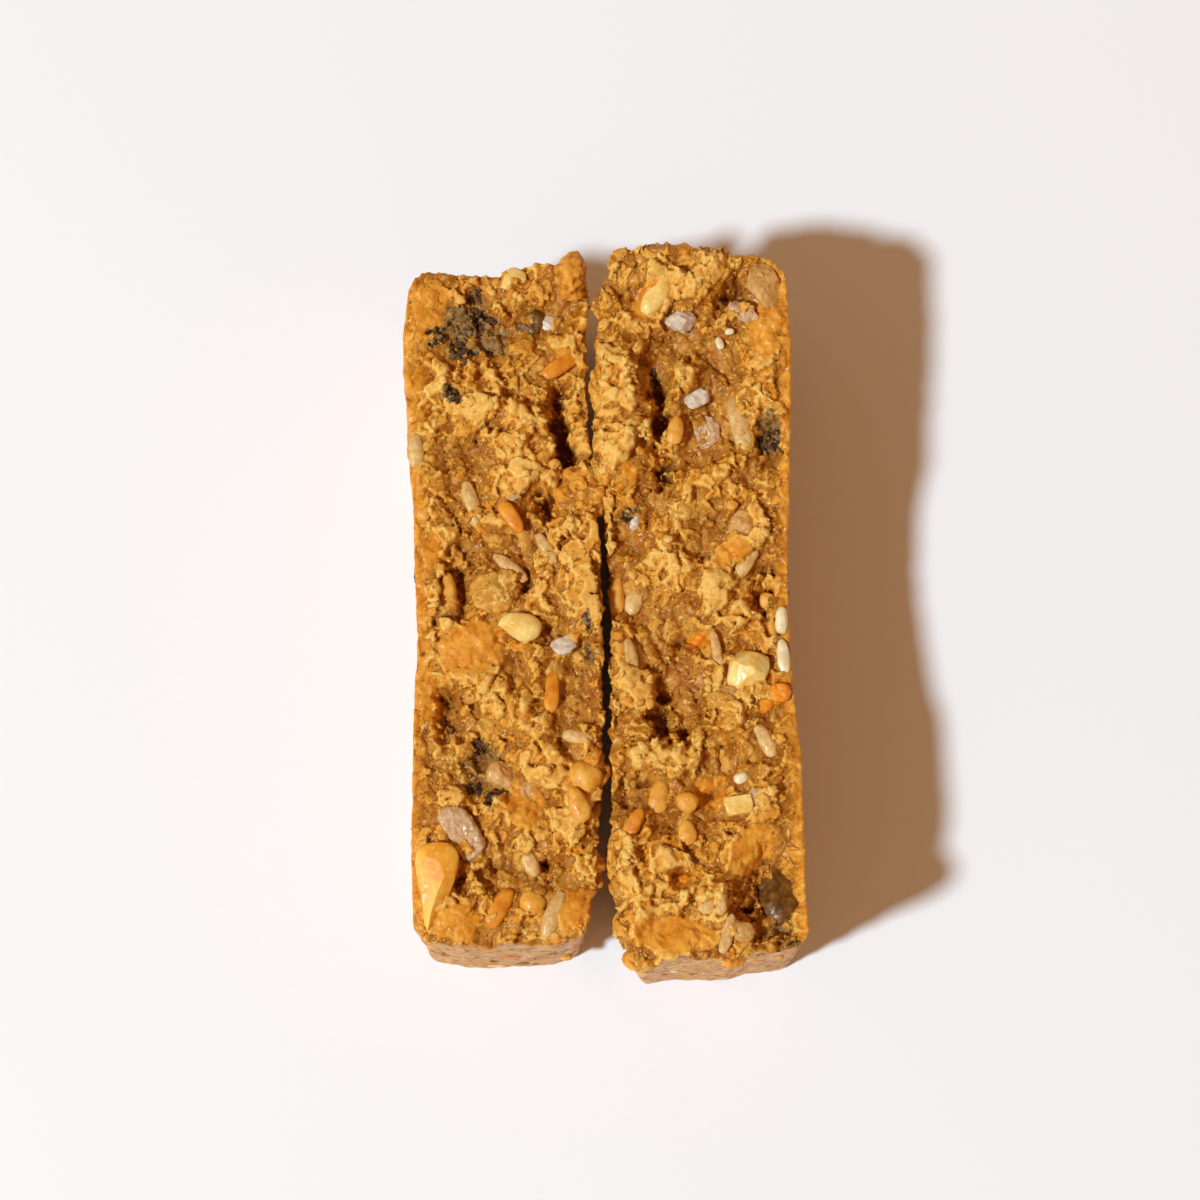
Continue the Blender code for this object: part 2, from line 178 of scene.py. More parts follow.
def makeCrumb(name, glow):
    tones = crumbFinish
    f = Finish(name, {"Metallic": 0.0, "IOR": 1.45, "Specular IOR Level": 0.25, "Coat Roughness": 0.16,
                      "Subsurface Weight": glow, "Subsurface Radius": (1.0, 0.75, 0.5),
                      "Subsurface Scale": 0.0006, "Specular Tint": (1.0, 0.84, 0.62, 1)})
    crest, paintedShade, smear = f.channels(f.attribute("crumb", "Color"))
    skin = f.attribute("crumb", "Alpha")
    amber, bean, beanTone = f.channels(f.attribute("bits", "Color"))
    broad = f.noise(tones["broad"], 2)
    patch = f.noise(tones["patch"], 4, 0.6)
    speck = f.noise(tones["speck"], 3, 0.65)
    grainApart, grainTone, grainHue = f.cells(tones["grain"])
    dots = (1 - grainApart.between(0.16, 0.38)) * grainHue.between(0.45, 0.7) * (1 - 0.6 * amber)
    # small bright crumbs with frayed edges, thick on the crests and rare in the hollows
    lace = (f.noise(tones["lace"], 6, 0.7) + (crest - 0.5) * 0.3).between(0.49, 0.55) * (1 - 0.7 * amber)
    # crest carries the golden and brown zones and the heights, and also painted highlight on bulges and
    # step lips and painted shade in pits
    high = (crest + (patch - 0.5) * 0.45 + (lace - 0.5) * 0.34).between(0.32, 0.68)
    grit = f.noise(tones["grit"], 3, 0.7)
    low = f.mix(patch.between(0.40, 0.62), tones["valley"], tones["clay"])
    low = f.mix(bean * beanTone.between(0.2, 0.8), low, tones["bean"])
    top = f.mix(broad.between(0.38, 0.66), tones["crest"], tones["gold"])
    top = f.mix((speck * 0.5 + patch * 0.6 + (crest - 0.6) * 0.4).between(0.50, 0.95), top, tones["pale"])
    low = f.mix((speck + grainHue * 0.3).between(0.78, 0.90), low, tones["pale"])
    base = f.mix(high, low, top)
    paste = f.mix(patch.between(0.35, 0.68), tones["amber"], tones["amberLight"])
    base = f.mix((amber + (patch - 0.5) * 0.7).between(0.35, 0.95), base, paste)
    base = f.mix(dots * tones["dots"], base, tones["pale"])
    # painted shade: sunk places on the torn face and under crags are darkened towards the painted shade
    # colour
    base = f.mix((paintedShade + (speck - 0.5) * 0.3).between(0.25, 1.1), base, tones["paintedShadeColour"])
    thin = (1.1 - smear * 0.5 + speck + (grainTone - 0.5) * 0.4).between(1.1, 1.34)
    stain = f.mix(thin, tones["smear"], tones["olive"])
    base = f.mix((smear + (speck - 0.5) * 0.8).between(0.30, 0.65), base, stain)
    # the sides: pressed crumb with a few packed grains in it
    apart, packedTone, packedHere = f.cells(tones["packed"], f.warped(1.3, 1.6))
    shown = (packedHere + (broad - 0.5) * 0.9).between(0.45, 0.62)
    side = f.mix((patch + (speck - 0.5) * 0.6).between(0.36, 0.66), tones["skinDark"], tones["skin"])
    side = f.mix((broad + (speck - 0.5) * 0.7).between(0.50, 0.70), side, tones["crest"])
    packedGrain = f.mix(packedTone, tones["bean"], tones["oat"])
    side = f.mix((1 - apart.between(0.22, 0.42)) * shown * 0.75, side, packedGrain)
    seam = apart.between(0.36, 0.46) * (1 - apart.between(0.46, 0.62))
    side = f.mix(seam * shown * 0.6, side, tones["valley"])
    side = f.mix(f.noise(1.0, 4, 0.7).between(0.60, 0.70) * 0.7, side, tones["valley"])
    # the walls, with painted shade darkening their holes
    base = f.mix(skin, base, f.mix(paintedShade * 1.2, side, tones["paintedShadeColour"]))
    # painted shade and highlight: the grit noise that makes the fine bump also darkens its dips and
    # lightens its tops; speck and grain tone vary at random
    lift = tones["brightness"] + (grainTone - 0.5) * (1 - high) * 0.2
    lift = lift + (speck - 0.5) * 0.24 + (grit - 0.5) * 0.5
    base = f.mix(1.0, base, f.node("ShaderNodeCombineColor", {}, {0: lift, 1: lift, 2: lift}), "MULTIPLY")
    rough = tones["rough"] - 0.2 * (1 - high) - 0.1 * amber + 0.16 * (speck - 0.5)
    wet = (patch + (1 - high) * 0.35 + amber * 0.2).between(0.5, 0.9) * tones["wet"]
    coarse = f.bump((speck + patch * 1.4 - apart * 0.5) * skin, tones["packedDepth"])
    frayed = f.bump(lace * (1 - skin), tones["laceDepth"], coarse)
    fine = grit * (1 - 0.3 * high) * (1 - 0.6 * amber) + dots * 0.9
    relief = f.bump(fine, tones["gritDepth"], frayed)
    return f.feed(Base_Color=base, Roughness=rough, Coat_Weight=wet, Normal=relief)


smoothFinishes = {
    # light, dark and spot colours, roughness, glow, coat, depth of dents, width of the mottling
    "orange seed": ((236, 154, 40), (212, 116, 18), (246, 186, 90), 0.45, 0.15, 0.12, 0.06, 1.2),
    "tan seed": ((238, 174, 70), (220, 142, 40), (248, 206, 124), 0.48, 0.25, 0.1, 0.06, 1.2),
    "pale grain": ((232, 186, 116), (206, 154, 84), (244, 214, 160), 0.45, 0.3, 0.15, 0.08, 0.8),
    "rice": ((246, 228, 184), (228, 198, 142), (252, 242, 216), 0.42, 0.35, 0.12, 0.05, 1.2),
    "nut": ((250, 214, 128), (238, 184, 86), (254, 232, 176), 0.46, 0.3, 0.1, 0.07, 1.8),
    "tan nut": ((220, 166, 94), (196, 136, 66), (236, 198, 132), 0.46, 0.35, 0.18, 0.1, 1.2),
    "dark fruit": ((104, 62, 30), (58, 30, 12), (150, 104, 50), 0.62, 0.05, 0.04, 0.12, 0.6),
    "amber paste": ((248, 190, 72), (236, 152, 34), (252, 218, 132), 0.5, 0.4, 0.05, 0.04, 2.0),
    "orange paste": ((242, 150, 32), (226, 120, 12), (250, 186, 84), 0.36, 0.3, 0.25, 0.08, 1.2),
    "olive seed": ((124, 74, 6), (82, 44, 2), (152, 102, 24), 0.5, 0.15, 0.1, 0.05, 1.0),
    "milky grain": ((234, 214, 188), (204, 176, 148), (250, 240, 226), 0.36, 0.4, 0.25, 0.08, 0.8),
    "mauve grain": ((228, 184, 136), (202, 154, 106), (244, 216, 176), 0.36, 0.3, 0.35, 0.14, 0.5),
}


def makeSmooth(name, light, dark, spotted, rough, glow, coat, dent, size):
    # a waxy skin for seeds, nuts and grains: soft mottling of a size, small spots, dents of a depth
    f = Finish(name, {"Metallic": 0.0, "IOR": 1.47, "Subsurface Weight": glow, "Coat Roughness": 0.15,
                      "Subsurface Radius": (1.0, 0.8, 0.6), "Subsurface Scale": 0.0008,
                      "Specular Tint": (1.0, 0.88, 0.70, 1)})
    mottle = f.noise(size, 4, 0.6)
    spots = f.noise(size * 0.3, 2, 0.6)
    base = f.mix(mottle.between(0.34, 0.68), colour(*dark), colour(*light))
    base = f.mix(spots.between(0.60, 0.74) * 0.7, base, colour(*spotted))
    sheen = (1 - mottle) * coat * 2
    relief = f.bump(f.noise(size * 0.35, 4, 0.65), dent)
    return f.feed(Base_Color=base, Roughness=rough + 0.2 * (mottle - 0.5), Coat_Weight=sheen, Normal=relief)


crumb = makeCrumb("golden crumb", 0.6)
looseCrumb = makeCrumb("loose crumb", 0.0)
smooth = {name: makeSmooth(name, *values) for name, values in smoothFinishes.items()}
print("materials made")


# The two halves

halfForm = {
    "thickness": 19.0, "length": 70.0, "height": 25.0, "corner": 1.9,
    "cell": 0.162, "rings": 42,  # the torn face's mesh, and how many rings the walls have
    "lean": 0.9,  # how far the inner walls lean away from each other at the foot
    # how far the walls lie inside the rim, at these heights
    "levels": [0, 0.15, 0.6, 12.0, 21.2, 24.0], "insets": [0.75, 0.5, 0.30, 0.30, 0.10, 0.0],
    "rimDrop": 0.12, "ringPower": 1.35, "foot": 0.35,  # the rim, how rings crowd to it, the lowest ring
    "raggedRim": [(2.2, 0.45), (0.7, 0.35)],  # width and reach
    "raggedFade": (0.9, 1.2, 1.1),  # it fades from broken rims, from every rim, and down the walls
    "skin": (0.25, 0.9),  # how far under the rim the pressed skin starts, and over what it fades in
    # the pressed walls: waves and dents with width and rise, bumps with spacing, radius and rise,
    # and holes with width, rareness and depth
    "wave": (7.0, 0.22), "dents": (2.4, 0.17), "bumps": (2.6, 0.42, 0.35), "holes": (1.9, 0.38, 0.9),
}
# Outlines: x at a y for the outer and inner edges, y at an x for the far and near ones.
# Swell: how far the torn face stands above its height, at a y. InnerSide: which side the tear is on.
leftHalf = {
    "outer": [
        (34, -19.5), (27, -19.9), (18, -19.4), (8, -18.7), (-4, -18.3), (-14, -18.6), (-27, -18.6),
        (-34, -18.4),
    ],
    "inner": [
        (34, -1.4), (29, -1.4), (18, -1.3), (10, -0.7), (4, 0.1), (-10, 0.3), (-18, 0.3), (-26, -0.2),
        (-34, -1),
    ],
    "far": [(-19.5, 33.5), (-16, 34), (-11.5, 33.2), (-7, 34.3), (-2, 35)],
    "near": [(-18.5, -33.9), (-13, -34.7), (-5, -34.5), (-1, -33.7)],
    "swell": [(35, 0.6), (12, 0.2), (-8, -0.6), (-35, 0.4)],
    "innerSide": 1,
}
rightHalf = {
    "outer": [
        (34, 18.8), (26, 19.3), (14, 19.1), (2, 18.9), (-8, 19.3), (-16, 20), (-28, 20.2), (-34, 20.5),
    ],
    "inner": [
        (35, 1.3), (31, 0), (24, -0.4), (16, -0.6), (10, 0.2), (3, 1), (-10, 1.1), (-26, 1.2), (-35, 2.8),
    ],
    "far": [(1, 35), (5, 36.5), (10, 36.1), (15, 35.3), (19, 34.7)],
    "near": [(2.5, -36.8), (8, -36), (12.5, -36), (15.5, -35.4), (20.5, -34.8)],
    "swell": [(35, 1.4), (18, 0.8), (0, -1.8), (-8, -1.4), (-20, 0.6), (-35, 1.2)],
    "innerSide": -1,
}
tornFace = {
    "plates": [(4.2, 0.60), (2.2, 0.24)],  # broken crumb: width and rise
    # steps and waves, and grains packed in the hollows, the same way
    "terraces": [(3.4, 0.62), (2.1, 0.34)], "waves": (1.4, 0.08), "beans": (1.7, 0.60),
    "grit": (0.30, 0.05, 0.09),  # its width, and its rise on crests and in hollows
    "ledge": 0.08, "rim": (0.22, 0.16, 0.04),  # half width of a step; its lip's place, width and rise
    "rag": (1.4, 0.6),  # how the outlines of pits, crests and patches wander: width and reach
    "overhang": 0.12, "pushLimit": 0.30,  # how far steep places lean out
    "cavities": [(7, 0.5), (16, 0.2)],  # how sunk a place is, for the painted shade in hollows: a blur's reach in cells, and its weight
    "bell": (0.7, 3.2),  # how the rise of a pit, crest or hollow falls off at its edge
    "tones": {"pits": 0.1, "crests": 0.42, "hollows": 0.5},  # how much each tints the crumb; the pits' tint is a painted shade that browns them
    "bandWidth": 1.5, "bandCalm": 0.6, "amberCalm": 0.72,  # the outer band, and how smooth paste is
    # pits: x, y, half length, half width, turn, rise
    "pits": [
        (-3.9, 16.4, 3.2, 1.1, 97, -3.6), (-3.8, 21.2, 1.5, 1.2, 100, -2.4),
        (-5.2, 9.9, 1.3, 1.1, 20, -2.6), (-14.5, 4.1, 2.2, 1.3, 60, -1.8), (-13.7, 1, 1.8, 0.7, 90, -1.6),
        (-7.3, 2, 1.3, 0.8, 110, -1.4), (-15.4, -11.3, 3, 1, 100, -2.2), (-13.6, -28.6, 1.2, 0.9, 20, -1.5),
        (-11.5, -16.9, 3.4, 2.3, 110, -1.5), (6.1, 21, 2.4, 0.9, 98, -2.6), (5.9, 17, 2, 0.8, 92, -2.4),
        (6.7, 13.4, 2.2, 0.8, 80, -2.2), (13.4, 31.4, 2.4, 1, 60, -1.6), (17.2, 16, 2.6, 1, 100, -1.6),
        (16.5, 1.2, 2.6, 1.1, 70, -2), (6.1, -11.3, 2.8, 1, 95, -2.3), (8.4, -13.9, 1.4, 0.8, 90, -1.8),
        (3.4, -19.6, 2, 1.3, 30, -1.6), (11.1, -19.7, 1.6, 1.2, 60, -1.5),
        (17.6, -29.3, 3.4, 2.1, 105, -2.6), (8.2, -28.1, 1.4, 1, 20, -1.5), (14.6, -30.8, 0.7, 0.5, 0, -2),
        (-5.6, -26.8, 0.5, 0.4, 0, -1.8), (9, -3.6, 1.6, 1, 10, -1.2), (-5.2, -3, 2, 0.7, 150, -1),
        (16.8, -33.4, 1.7, 0.9, 0, -1.3),
    ],
    # crests of golden crumb, the same way
    "crests": [
        (-8, 13.3, 3.4, 2, 35, 1.5), (-10, 19.6, 5, 1.3, 160, 1.2), (-18, 22, 5.5, 1.2, 88, 0.5),
        (-11, 23, 3, 0.55, 112, 1), (-15.2, 23.3, 1.8, 1, 60, 0.7), (-2.6, 27.4, 3.2, 0.9, 60, 0.8),
        (-10.6, 0.5, 2.4, 2, 0, 0.7), (-13.2, -4.8, 3, 2.4, 30, 0.8), (-8.2, -11.6, 4.4, 1.7, 145, 1.2),
        (-5, -17, 3.6, 1.6, 120, 0.9), (-1.8, -14.2, 1.8, 0.8, 95, 0.8), (-4, -23, 3.4, 1.9, 40, 0.8),
        (-13.8, -32, 2.6, 1.8, 10, 0.9), (-2.9, -31.6, 2.2, 1.7, 60, 0.8),
        (-8.6, -21.8, 2.4, 1.1, 160, 0.8), (2, 19.5, 7.5, 2.1, 93, 1.7), (5, 34, 5, 1.6, 10, 1.1),
        (11.5, 34.6, 1.8, 1, 0, 0.8), (8.2, 22.6, 1.7, 0.9, 20, 1), (9.3, 32.2, 2.6, 1.3, 20, 0.8),
        (12.6, 12, 3.2, 1.7, 60, 1.2), (15.2, 7, 4.6, 1.6, 50, 1), (5.6, 6.4, 4.2, 1.5, 125, 0.9),
        (9.6, 2.6, 4.4, 1.6, 150, 1), (16.4, 24, 4, 1.2, 70, 0.6), (11.8, -13, 6.4, 1.8, 38, 1.3),
        (4.5, -15.6, 4, 1.1, 10, 1), (16.8, -19.6, 3, 1.6, 60, 0.8), (13, -25, 3.4, 1.8, 35, 0.8),
        (5.6, -24.8, 3, 1.5, 150, 0.8), (9.6, -29.4, 3.6, 1.1, 165, 0.9), (3.2, -32.6, 1.6, 1.2, 60, 1),
        (8.6, -34.6, 3.6, 1.1, 5, 0.7), (2.4, -5, 3.4, 1, 95, 0.8), (3, -27, 3, 1.1, 95, 0.8),
    ],
    # hollows where the crumb is brown and packed with grains, the same way
    "hollows": [
        (-13.2, 11.6, 5, 2.6, 95, -0.9), (-8, 5.6, 3.6, 2.4, 20, -0.8), (-5.4, 29.2, 3.6, 2, 20, -0.8),
        (-12.6, 26.9, 4, 3, 140, -1.2), (-2.4, 13.6, 2.8, 1, 95, -0.7), (-2.4, -7.6, 5, 2.6, 100, -0.8),
        (-13, -12, 3.6, 1.6, 110, -1), (-8, -27.4, 3.4, 1.8, 20, -0.9), (-4.6, -13.4, 3, 1.6, 30, -0.6),
        (-12.6, -24, 2.6, 2, 120, -0.6), (10.6, 16.6, 4.4, 2.8, 80, -1.2), (9.4, 25.6, 5.6, 2.4, 170, -0.9),
        (9.8, 20.4, 2.6, 1.6, 20, -0.8), (14.2, 30.2, 3, 2, 30, -0.8), (3.6, 7.8, 1.8, 2.8, 10, -0.7),
        (10.8, 8, 2.6, 1.8, 70, -0.6), (6.2, -4.4, 4, 3.2, 150, -0.9), (8.4, -11.4, 4.2, 2.6, 110, -1.1),
        (3.6, -19.6, 2.6, 1.6, 20, -0.8), (10.6, -18.8, 2.8, 2.2, 60, -0.6),
        (15.6, -29.6, 4.4, 2.6, 100, -1), (16.6, -33.4, 2.4, 1.2, 0, -0.8), (12, -22.6, 3.4, 1.4, 10, -0.5),
        (6.4, -21.8, 2.4, 1.6, 90, -0.5),
    ],
    # dark fruit smeared into the crumb: x, y, radius, how dark
    "smears": [
        (-12.9, 31.3, 0.9, 1), (-16.4, 26.9, 0.9, 1), (-12.2, 29, 1.5, 1), (-13.9, 25.8, 1.3, 1),
        (-11, 26.8, 2.2, 0.55), (-14.4, 28.6, 2.4, 0.6), (-15, 20.6, 1, 0.9), (-11.9, -14.6, 1, 0.8),
        (-12.6, -18.9, 1, 1), (-10.7, -19.8, 1, 1), (-11.6, -16.6, 2.6, 0.5), (5.8, 22.9, 0.9, 0.9),
        (17.2, 16.4, 1.4, 0.9), (16.9, 18.2, 1.4, 0.55), (3, 8.8, 0.9, 0.7), (-15.1, -12.4, 1.2, 0.6),
        (-1.3, -2.4, 1.1, 0.7), (-0.8, -5.2, 1, 0.6), (18.9, -35, 1, 0.9), (17.2, -33.2, 1.6, 0.5),
    ],
    # smooth amber paste: x, y, half length, half width, turn
    "ambers": [
        (-17.2, 29.8, 4, 2, 85), (-12.8, -4.8, 3.6, 2.9, 30), (16.8, 27.6, 3.2, 2, 100),
        (-16.9, 5, 2.6, 0.9, 85), (-17, -9.3, 3.4, 1, 92), (7.4, -33.6, 4.6, 2, 175), (15, -25, 3.2, 2, 40),
        (11, -19.4, 1.9, 2.2, 20), (13.2, 5.2, 2, 1.4, 30), (-2.6, -31, 2.2, 2.4, 20),
        (10, -3.6, 1.8, 1.1, 10), (-7.4, -20.6, 2, 2.6, 20), (-14.4, -32.4, 2.8, 1.9, 10),
        (2.4, 12.4, 2, 1.4, 60), (8.3, -28, 1.5, 1.1, 20), (4.4, 30.6, 1.2, 2.4, 150),
    ],
}
scratch = bpy.data.meshes.new("scratch")  # carries small meshes into a piece's mesh


def along(stations, place):
    # an edge's place across at a place along it, joined smoothly between its stations
    ordered = sorted(stations)
    if place <= ordered[0][0]:
        return ordered[0][1]
    for (start, first), (end, second) in zip(ordered, ordered[1:]):
        if place <= end:
            share = (place - start) / (end - start)
            share = share * share * (3 - 2 * share)
            return first + (second - first) * share
    return ordered[-1][1]


def plan(half, across, lengthwise):
    # from a plain rectangle with round corners to the half's real outline
    width, length, corner = (halfForm[key] for key in ("thickness", "length", "corner"))
    over = Vector((abs(across) - width / 2 + corner, abs(lengthwise) - length / 2 + corner))
    if min(over) > 0:
        over *= 1 - max(over) / over.length
        across -= math.copysign(over.x, across)
        lengthwise -= math.copysign(over.y, lengthwise)
    s = 0.5 + across / width
    t = 0.5 + lengthwise / length
    west, east = half["outer"], half["inner"]
    if half["innerSide"] < 0:
        west, east = east, west
    x = along(west, lengthwise) * (1 - s) + along(east, lengthwise) * s
    y = along(half["near"], x) * (1 - t) + along(half["far"], x) * t
    return x, y


def outward(across, lengthwise):
    # the way out of the rectangle's nearest side, or of its round corner
    reachX = halfForm["thickness"] / 2 - halfForm["corner"]
    reachY = halfForm["length"] / 2 - halfForm["corner"]
    nearX = max(-reachX, min(reachX, across))
    nearY = max(-reachY, min(reachY, lengthwise))
    out = Vector((across - nearX, lengthwise - nearY, 0))
    return out.normalized() if out.length else out


def step(value, low, high):
    # 0 at low, 1 at high, smooth in between, for numbers and arrays
    share = np.clip((value - low) / (high - low), 0, 1)
    return share * share * (3 - 2 * share)


def plates(x, y, size, rise):
    # each cell of the pattern is a small broken plate with its own level and slope and ragged edges
    x = x + size * 20
    warp = noise.noise_vector(Vector((x, y, 0)) / (size * 0.6)) * size * 0.35
    warp += noise.noise_vector(Vector((x, y, 7)) / 0.7) * 0.28
    warp += noise.noise_vector(Vector((x, y, 3)) / 0.28) * 0.28 * 0.5
    spot = Vector((x + warp.x, y + warp.y, 0)) / size
    _, centres = noise.voronoi(spot)
    toss = noise.cell_vector(centres[0]) - Vector((0.5, 0.5, 0.5))
    lean = (spot - centres[0]).dot(toss)
    return rise * (toss.z * 2 + lean)


def terrace(x, y, size):
    # a slow noise with ragged contour lines: where it is high lies the top of a broken plate
    toss = noise.noise_vector(Vector((x, y, size)) / 0.9) * 0.34
    toss += noise.noise_vector(Vector((x, y, 7)) / 0.36) * 0.13
    return noise.fractal(Vector((x + toss.x, y + toss.y, size * 9)) / size, 0.9, 2.0, 2)


def bean(x, y, size):
    # a packed grain: how near its middle a point is, and the grain's own tone
    warp = noise.noise_vector(Vector((x, y, 31)) / 1.1) * 0.35
    spot = Vector((x + warp.x, (y + warp.y) * 0.75, 40)) / size
    apart, centres = noise.voronoi(spot)
    return max(0.0, 1 - (apart[0] / 0.62) ** 2), noise.cell(centres[0] * 9.7)


def spread(x, y, px, py, length, width, turn):
    # how far a point lies from a turned oval's middle: 1 on its edge
    c, s = math.cos(math.radians(turn)), math.sin(math.radians(turn))
    dx, dy = x - px, y - py
    return np.sqrt(((dx * c + dy * s) / length) ** 2 + ((dy * c - dx * s) / width) ** 2)


def tornRelief(half, x, y):
    # the torn face's height over arrays of places, and its colour fields
    flat = list(zip(x.ravel().tolist(), y.ravel().tolist()))

    def sample(rule):
        return np.array([rule(a, b) for a, b in flat]).reshape(x.shape)

    size, reach = tornFace["rag"]
    ragX = sample(lambda a, b: noise.fractal(Vector((a, b, 11)) / size, 0.7, 2.0, 4)) * reach
    ragY = sample(lambda a, b: noise.fractal(Vector((a, b, 23)) / size, 0.7, 2.0, 4)) * reach
    broken = sum(sample(lambda a, b: plates(a, b, size, rise)) for size, rise in tornFace["plates"])
    rimPlace, rimWidth, rimRise = tornFace["rim"]
    rims = np.zeros_like(x)
    for size, rise in tornFace["terraces"]:
        level = sample(lambda a, b: terrace(a, b, size))
        ledge = tornFace["ledge"] / size
        broken = broken + (step(level, -ledge, ledge) - 0.5) * rise
        rims = np.maximum(rims, np.exp(-((level * size - rimPlace) / rimWidth) ** 2) * rise)
    size, waveRise = tornFace["waves"]
    broken = broken + sample(lambda a, b: noise.noise(Vector((a, b, 17)) / size)) * waveRise
    size, gritHigh, gritLow = tornFace["grit"]
    grit = sample(lambda a, b: noise.noise(Vector((a, b, 5)) / size))
    size, beanRise = tornFace["beans"]
    beans = [bean(a, b, size) for a, b in flat]
    beanMiddle, beanTone = (np.array(part).reshape(x.shape) for part in zip(*beans))
    shape = np.zeros_like(x)
    zone = np.zeros_like(x)
    spreading, power = tornFace["bell"]
    for kind, weight in tornFace["tones"].items():
        for px, py, length, width, turn, rise in tornFace[kind]:
            near = spread(x + ragX, y + ragY, px, py, length, width, turn)
            bell = np.exp(-spreading * near ** power)
            shape += rise * bell
            zone += weight * math.copysign(1, rise) * bell
    fromOuter = sample(lambda a, b: abs(a - along(half["outer"], b)))
    band = 1 - step(fromOuter + ragX * 0.9, 0.5, tornFace["bandWidth"] + 0.7)
    amber = np.zeros_like(x)
    for px, py, length, width, turn in tornFace["ambers"]:
        near = spread(x + ragX, y + ragY, px, py, length, width, turn)
        amber = np.maximum(amber, 1 - step(near, 0.7, 1.2))
    calm = 1 - np.maximum(tornFace["bandCalm"] * band, tornFace["amberCalm"] * amber)
    amber = np.maximum(amber, band * 0.8)
    smear = np.zeros_like(x)
    for px, py, radius, dark in tornFace["smears"]:
        near = spread(x + ragX * 1.6, y + ragY * 1.6, px, py, radius, radius, 0)
        smear = np.maximum(smear, dark * (1 - step(near, 0.6, 1.2)))
    crest = 0.50 + zone + 0.50 * broken
    low = 1 - step(crest, 0.3, 0.6)
    swell = sample(lambda a, b: along(half["swell"], b))
    z = halfForm["height"] + swell + shape + broken * calm * (1 - 0.4 * low)
    z += (rimRise * rims + grit * (gritHigh + (gritLow - gritHigh) * low)) * (0.2 + 0.8 * calm)
    z += (beanMiddle - 0.4) * beanRise * low * (0.5 + beanTone)
    beanShare = step(beanMiddle, 0.05, 0.4) * low
    # painted highlight: the lips of the steps are made paler
    crest += 0.25 * rims * (1 - low)
    return {"z": z, "crest": crest, "amber": amber, "smear": smear, "bean": beanShare, "tone": beanTone}


def blurred(field, reach):
    # a box blur, twice, of an array of heights
    for _ in range(2):
        for axis in (0, 1):
            padded = np.pad(field, [(reach, reach) if k == axis else (0, 0) for k in (0, 1)], mode="edge")
            total = np.insert(np.cumsum(padded, axis=axis), 0, 0, axis=axis)
            first = np.take(total, range(0, field.shape[axis]), axis=axis)
            last = np.take(total, range(2 * reach + 1, field.shape[axis] + 2 * reach + 1), axis=axis)
            field = (last - first) / (2 * reach + 1)
    return field


def addObject(name, data):
    # a new object in the scene, for a mesh, lamp or camera
    made = bpy.data.objects.new(name, data)
    bpy.context.scene.collection.objects.link(made)
    return made


def makePiece(name, bm, material, shades=None):
    # puts the mesh in the bar's frame, and lets it ride on the body and stand for the solid
    # shades hold, for each point, crest, painted shade, smear and skin, then amber, bean and the bean's
    # tone
    bmesh.ops.translate(bm, vec=barShift, verts=bm.verts)
    bmesh.ops.scale(bm, vec=(mm, mm, mm), verts=bm.verts)
    mesh = bpy.data.meshes.new(name)
    bm.to_mesh(mesh)
    bm.free()
    if shades is not None:
        shades = np.asarray(shades, dtype=np.float32)
        for layer, columns in (("crumb", shades[:, 0:4]), ("bits", shades[:, 4:8])):
            made = mesh.attributes.new(layer, "FLOAT_COLOR", "POINT")
            made.data.foreach_set("color", np.ascontiguousarray(columns).ravel())
    mesh.materials.append(material)
    mesh.shade_smooth()
    piece = addObject(name, mesh)
    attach(piece, "root")
    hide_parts("granola_bar")
    mesh.calc_loop_triangles()
    print(name, len(mesh.loop_triangles), "triangles")


def pour(small, big):
    # adds a finished small mesh to a piece's mesh, and says how many points it had
    count = len(small.verts)
    small.to_mesh(scratch)
    small.free()
    big.from_mesh(scratch)
    return count


def sideInset(z):
    # how far the walls lie inside the rim at a height
    return float(np.interp(z, halfForm["levels"], halfForm["insets"]))


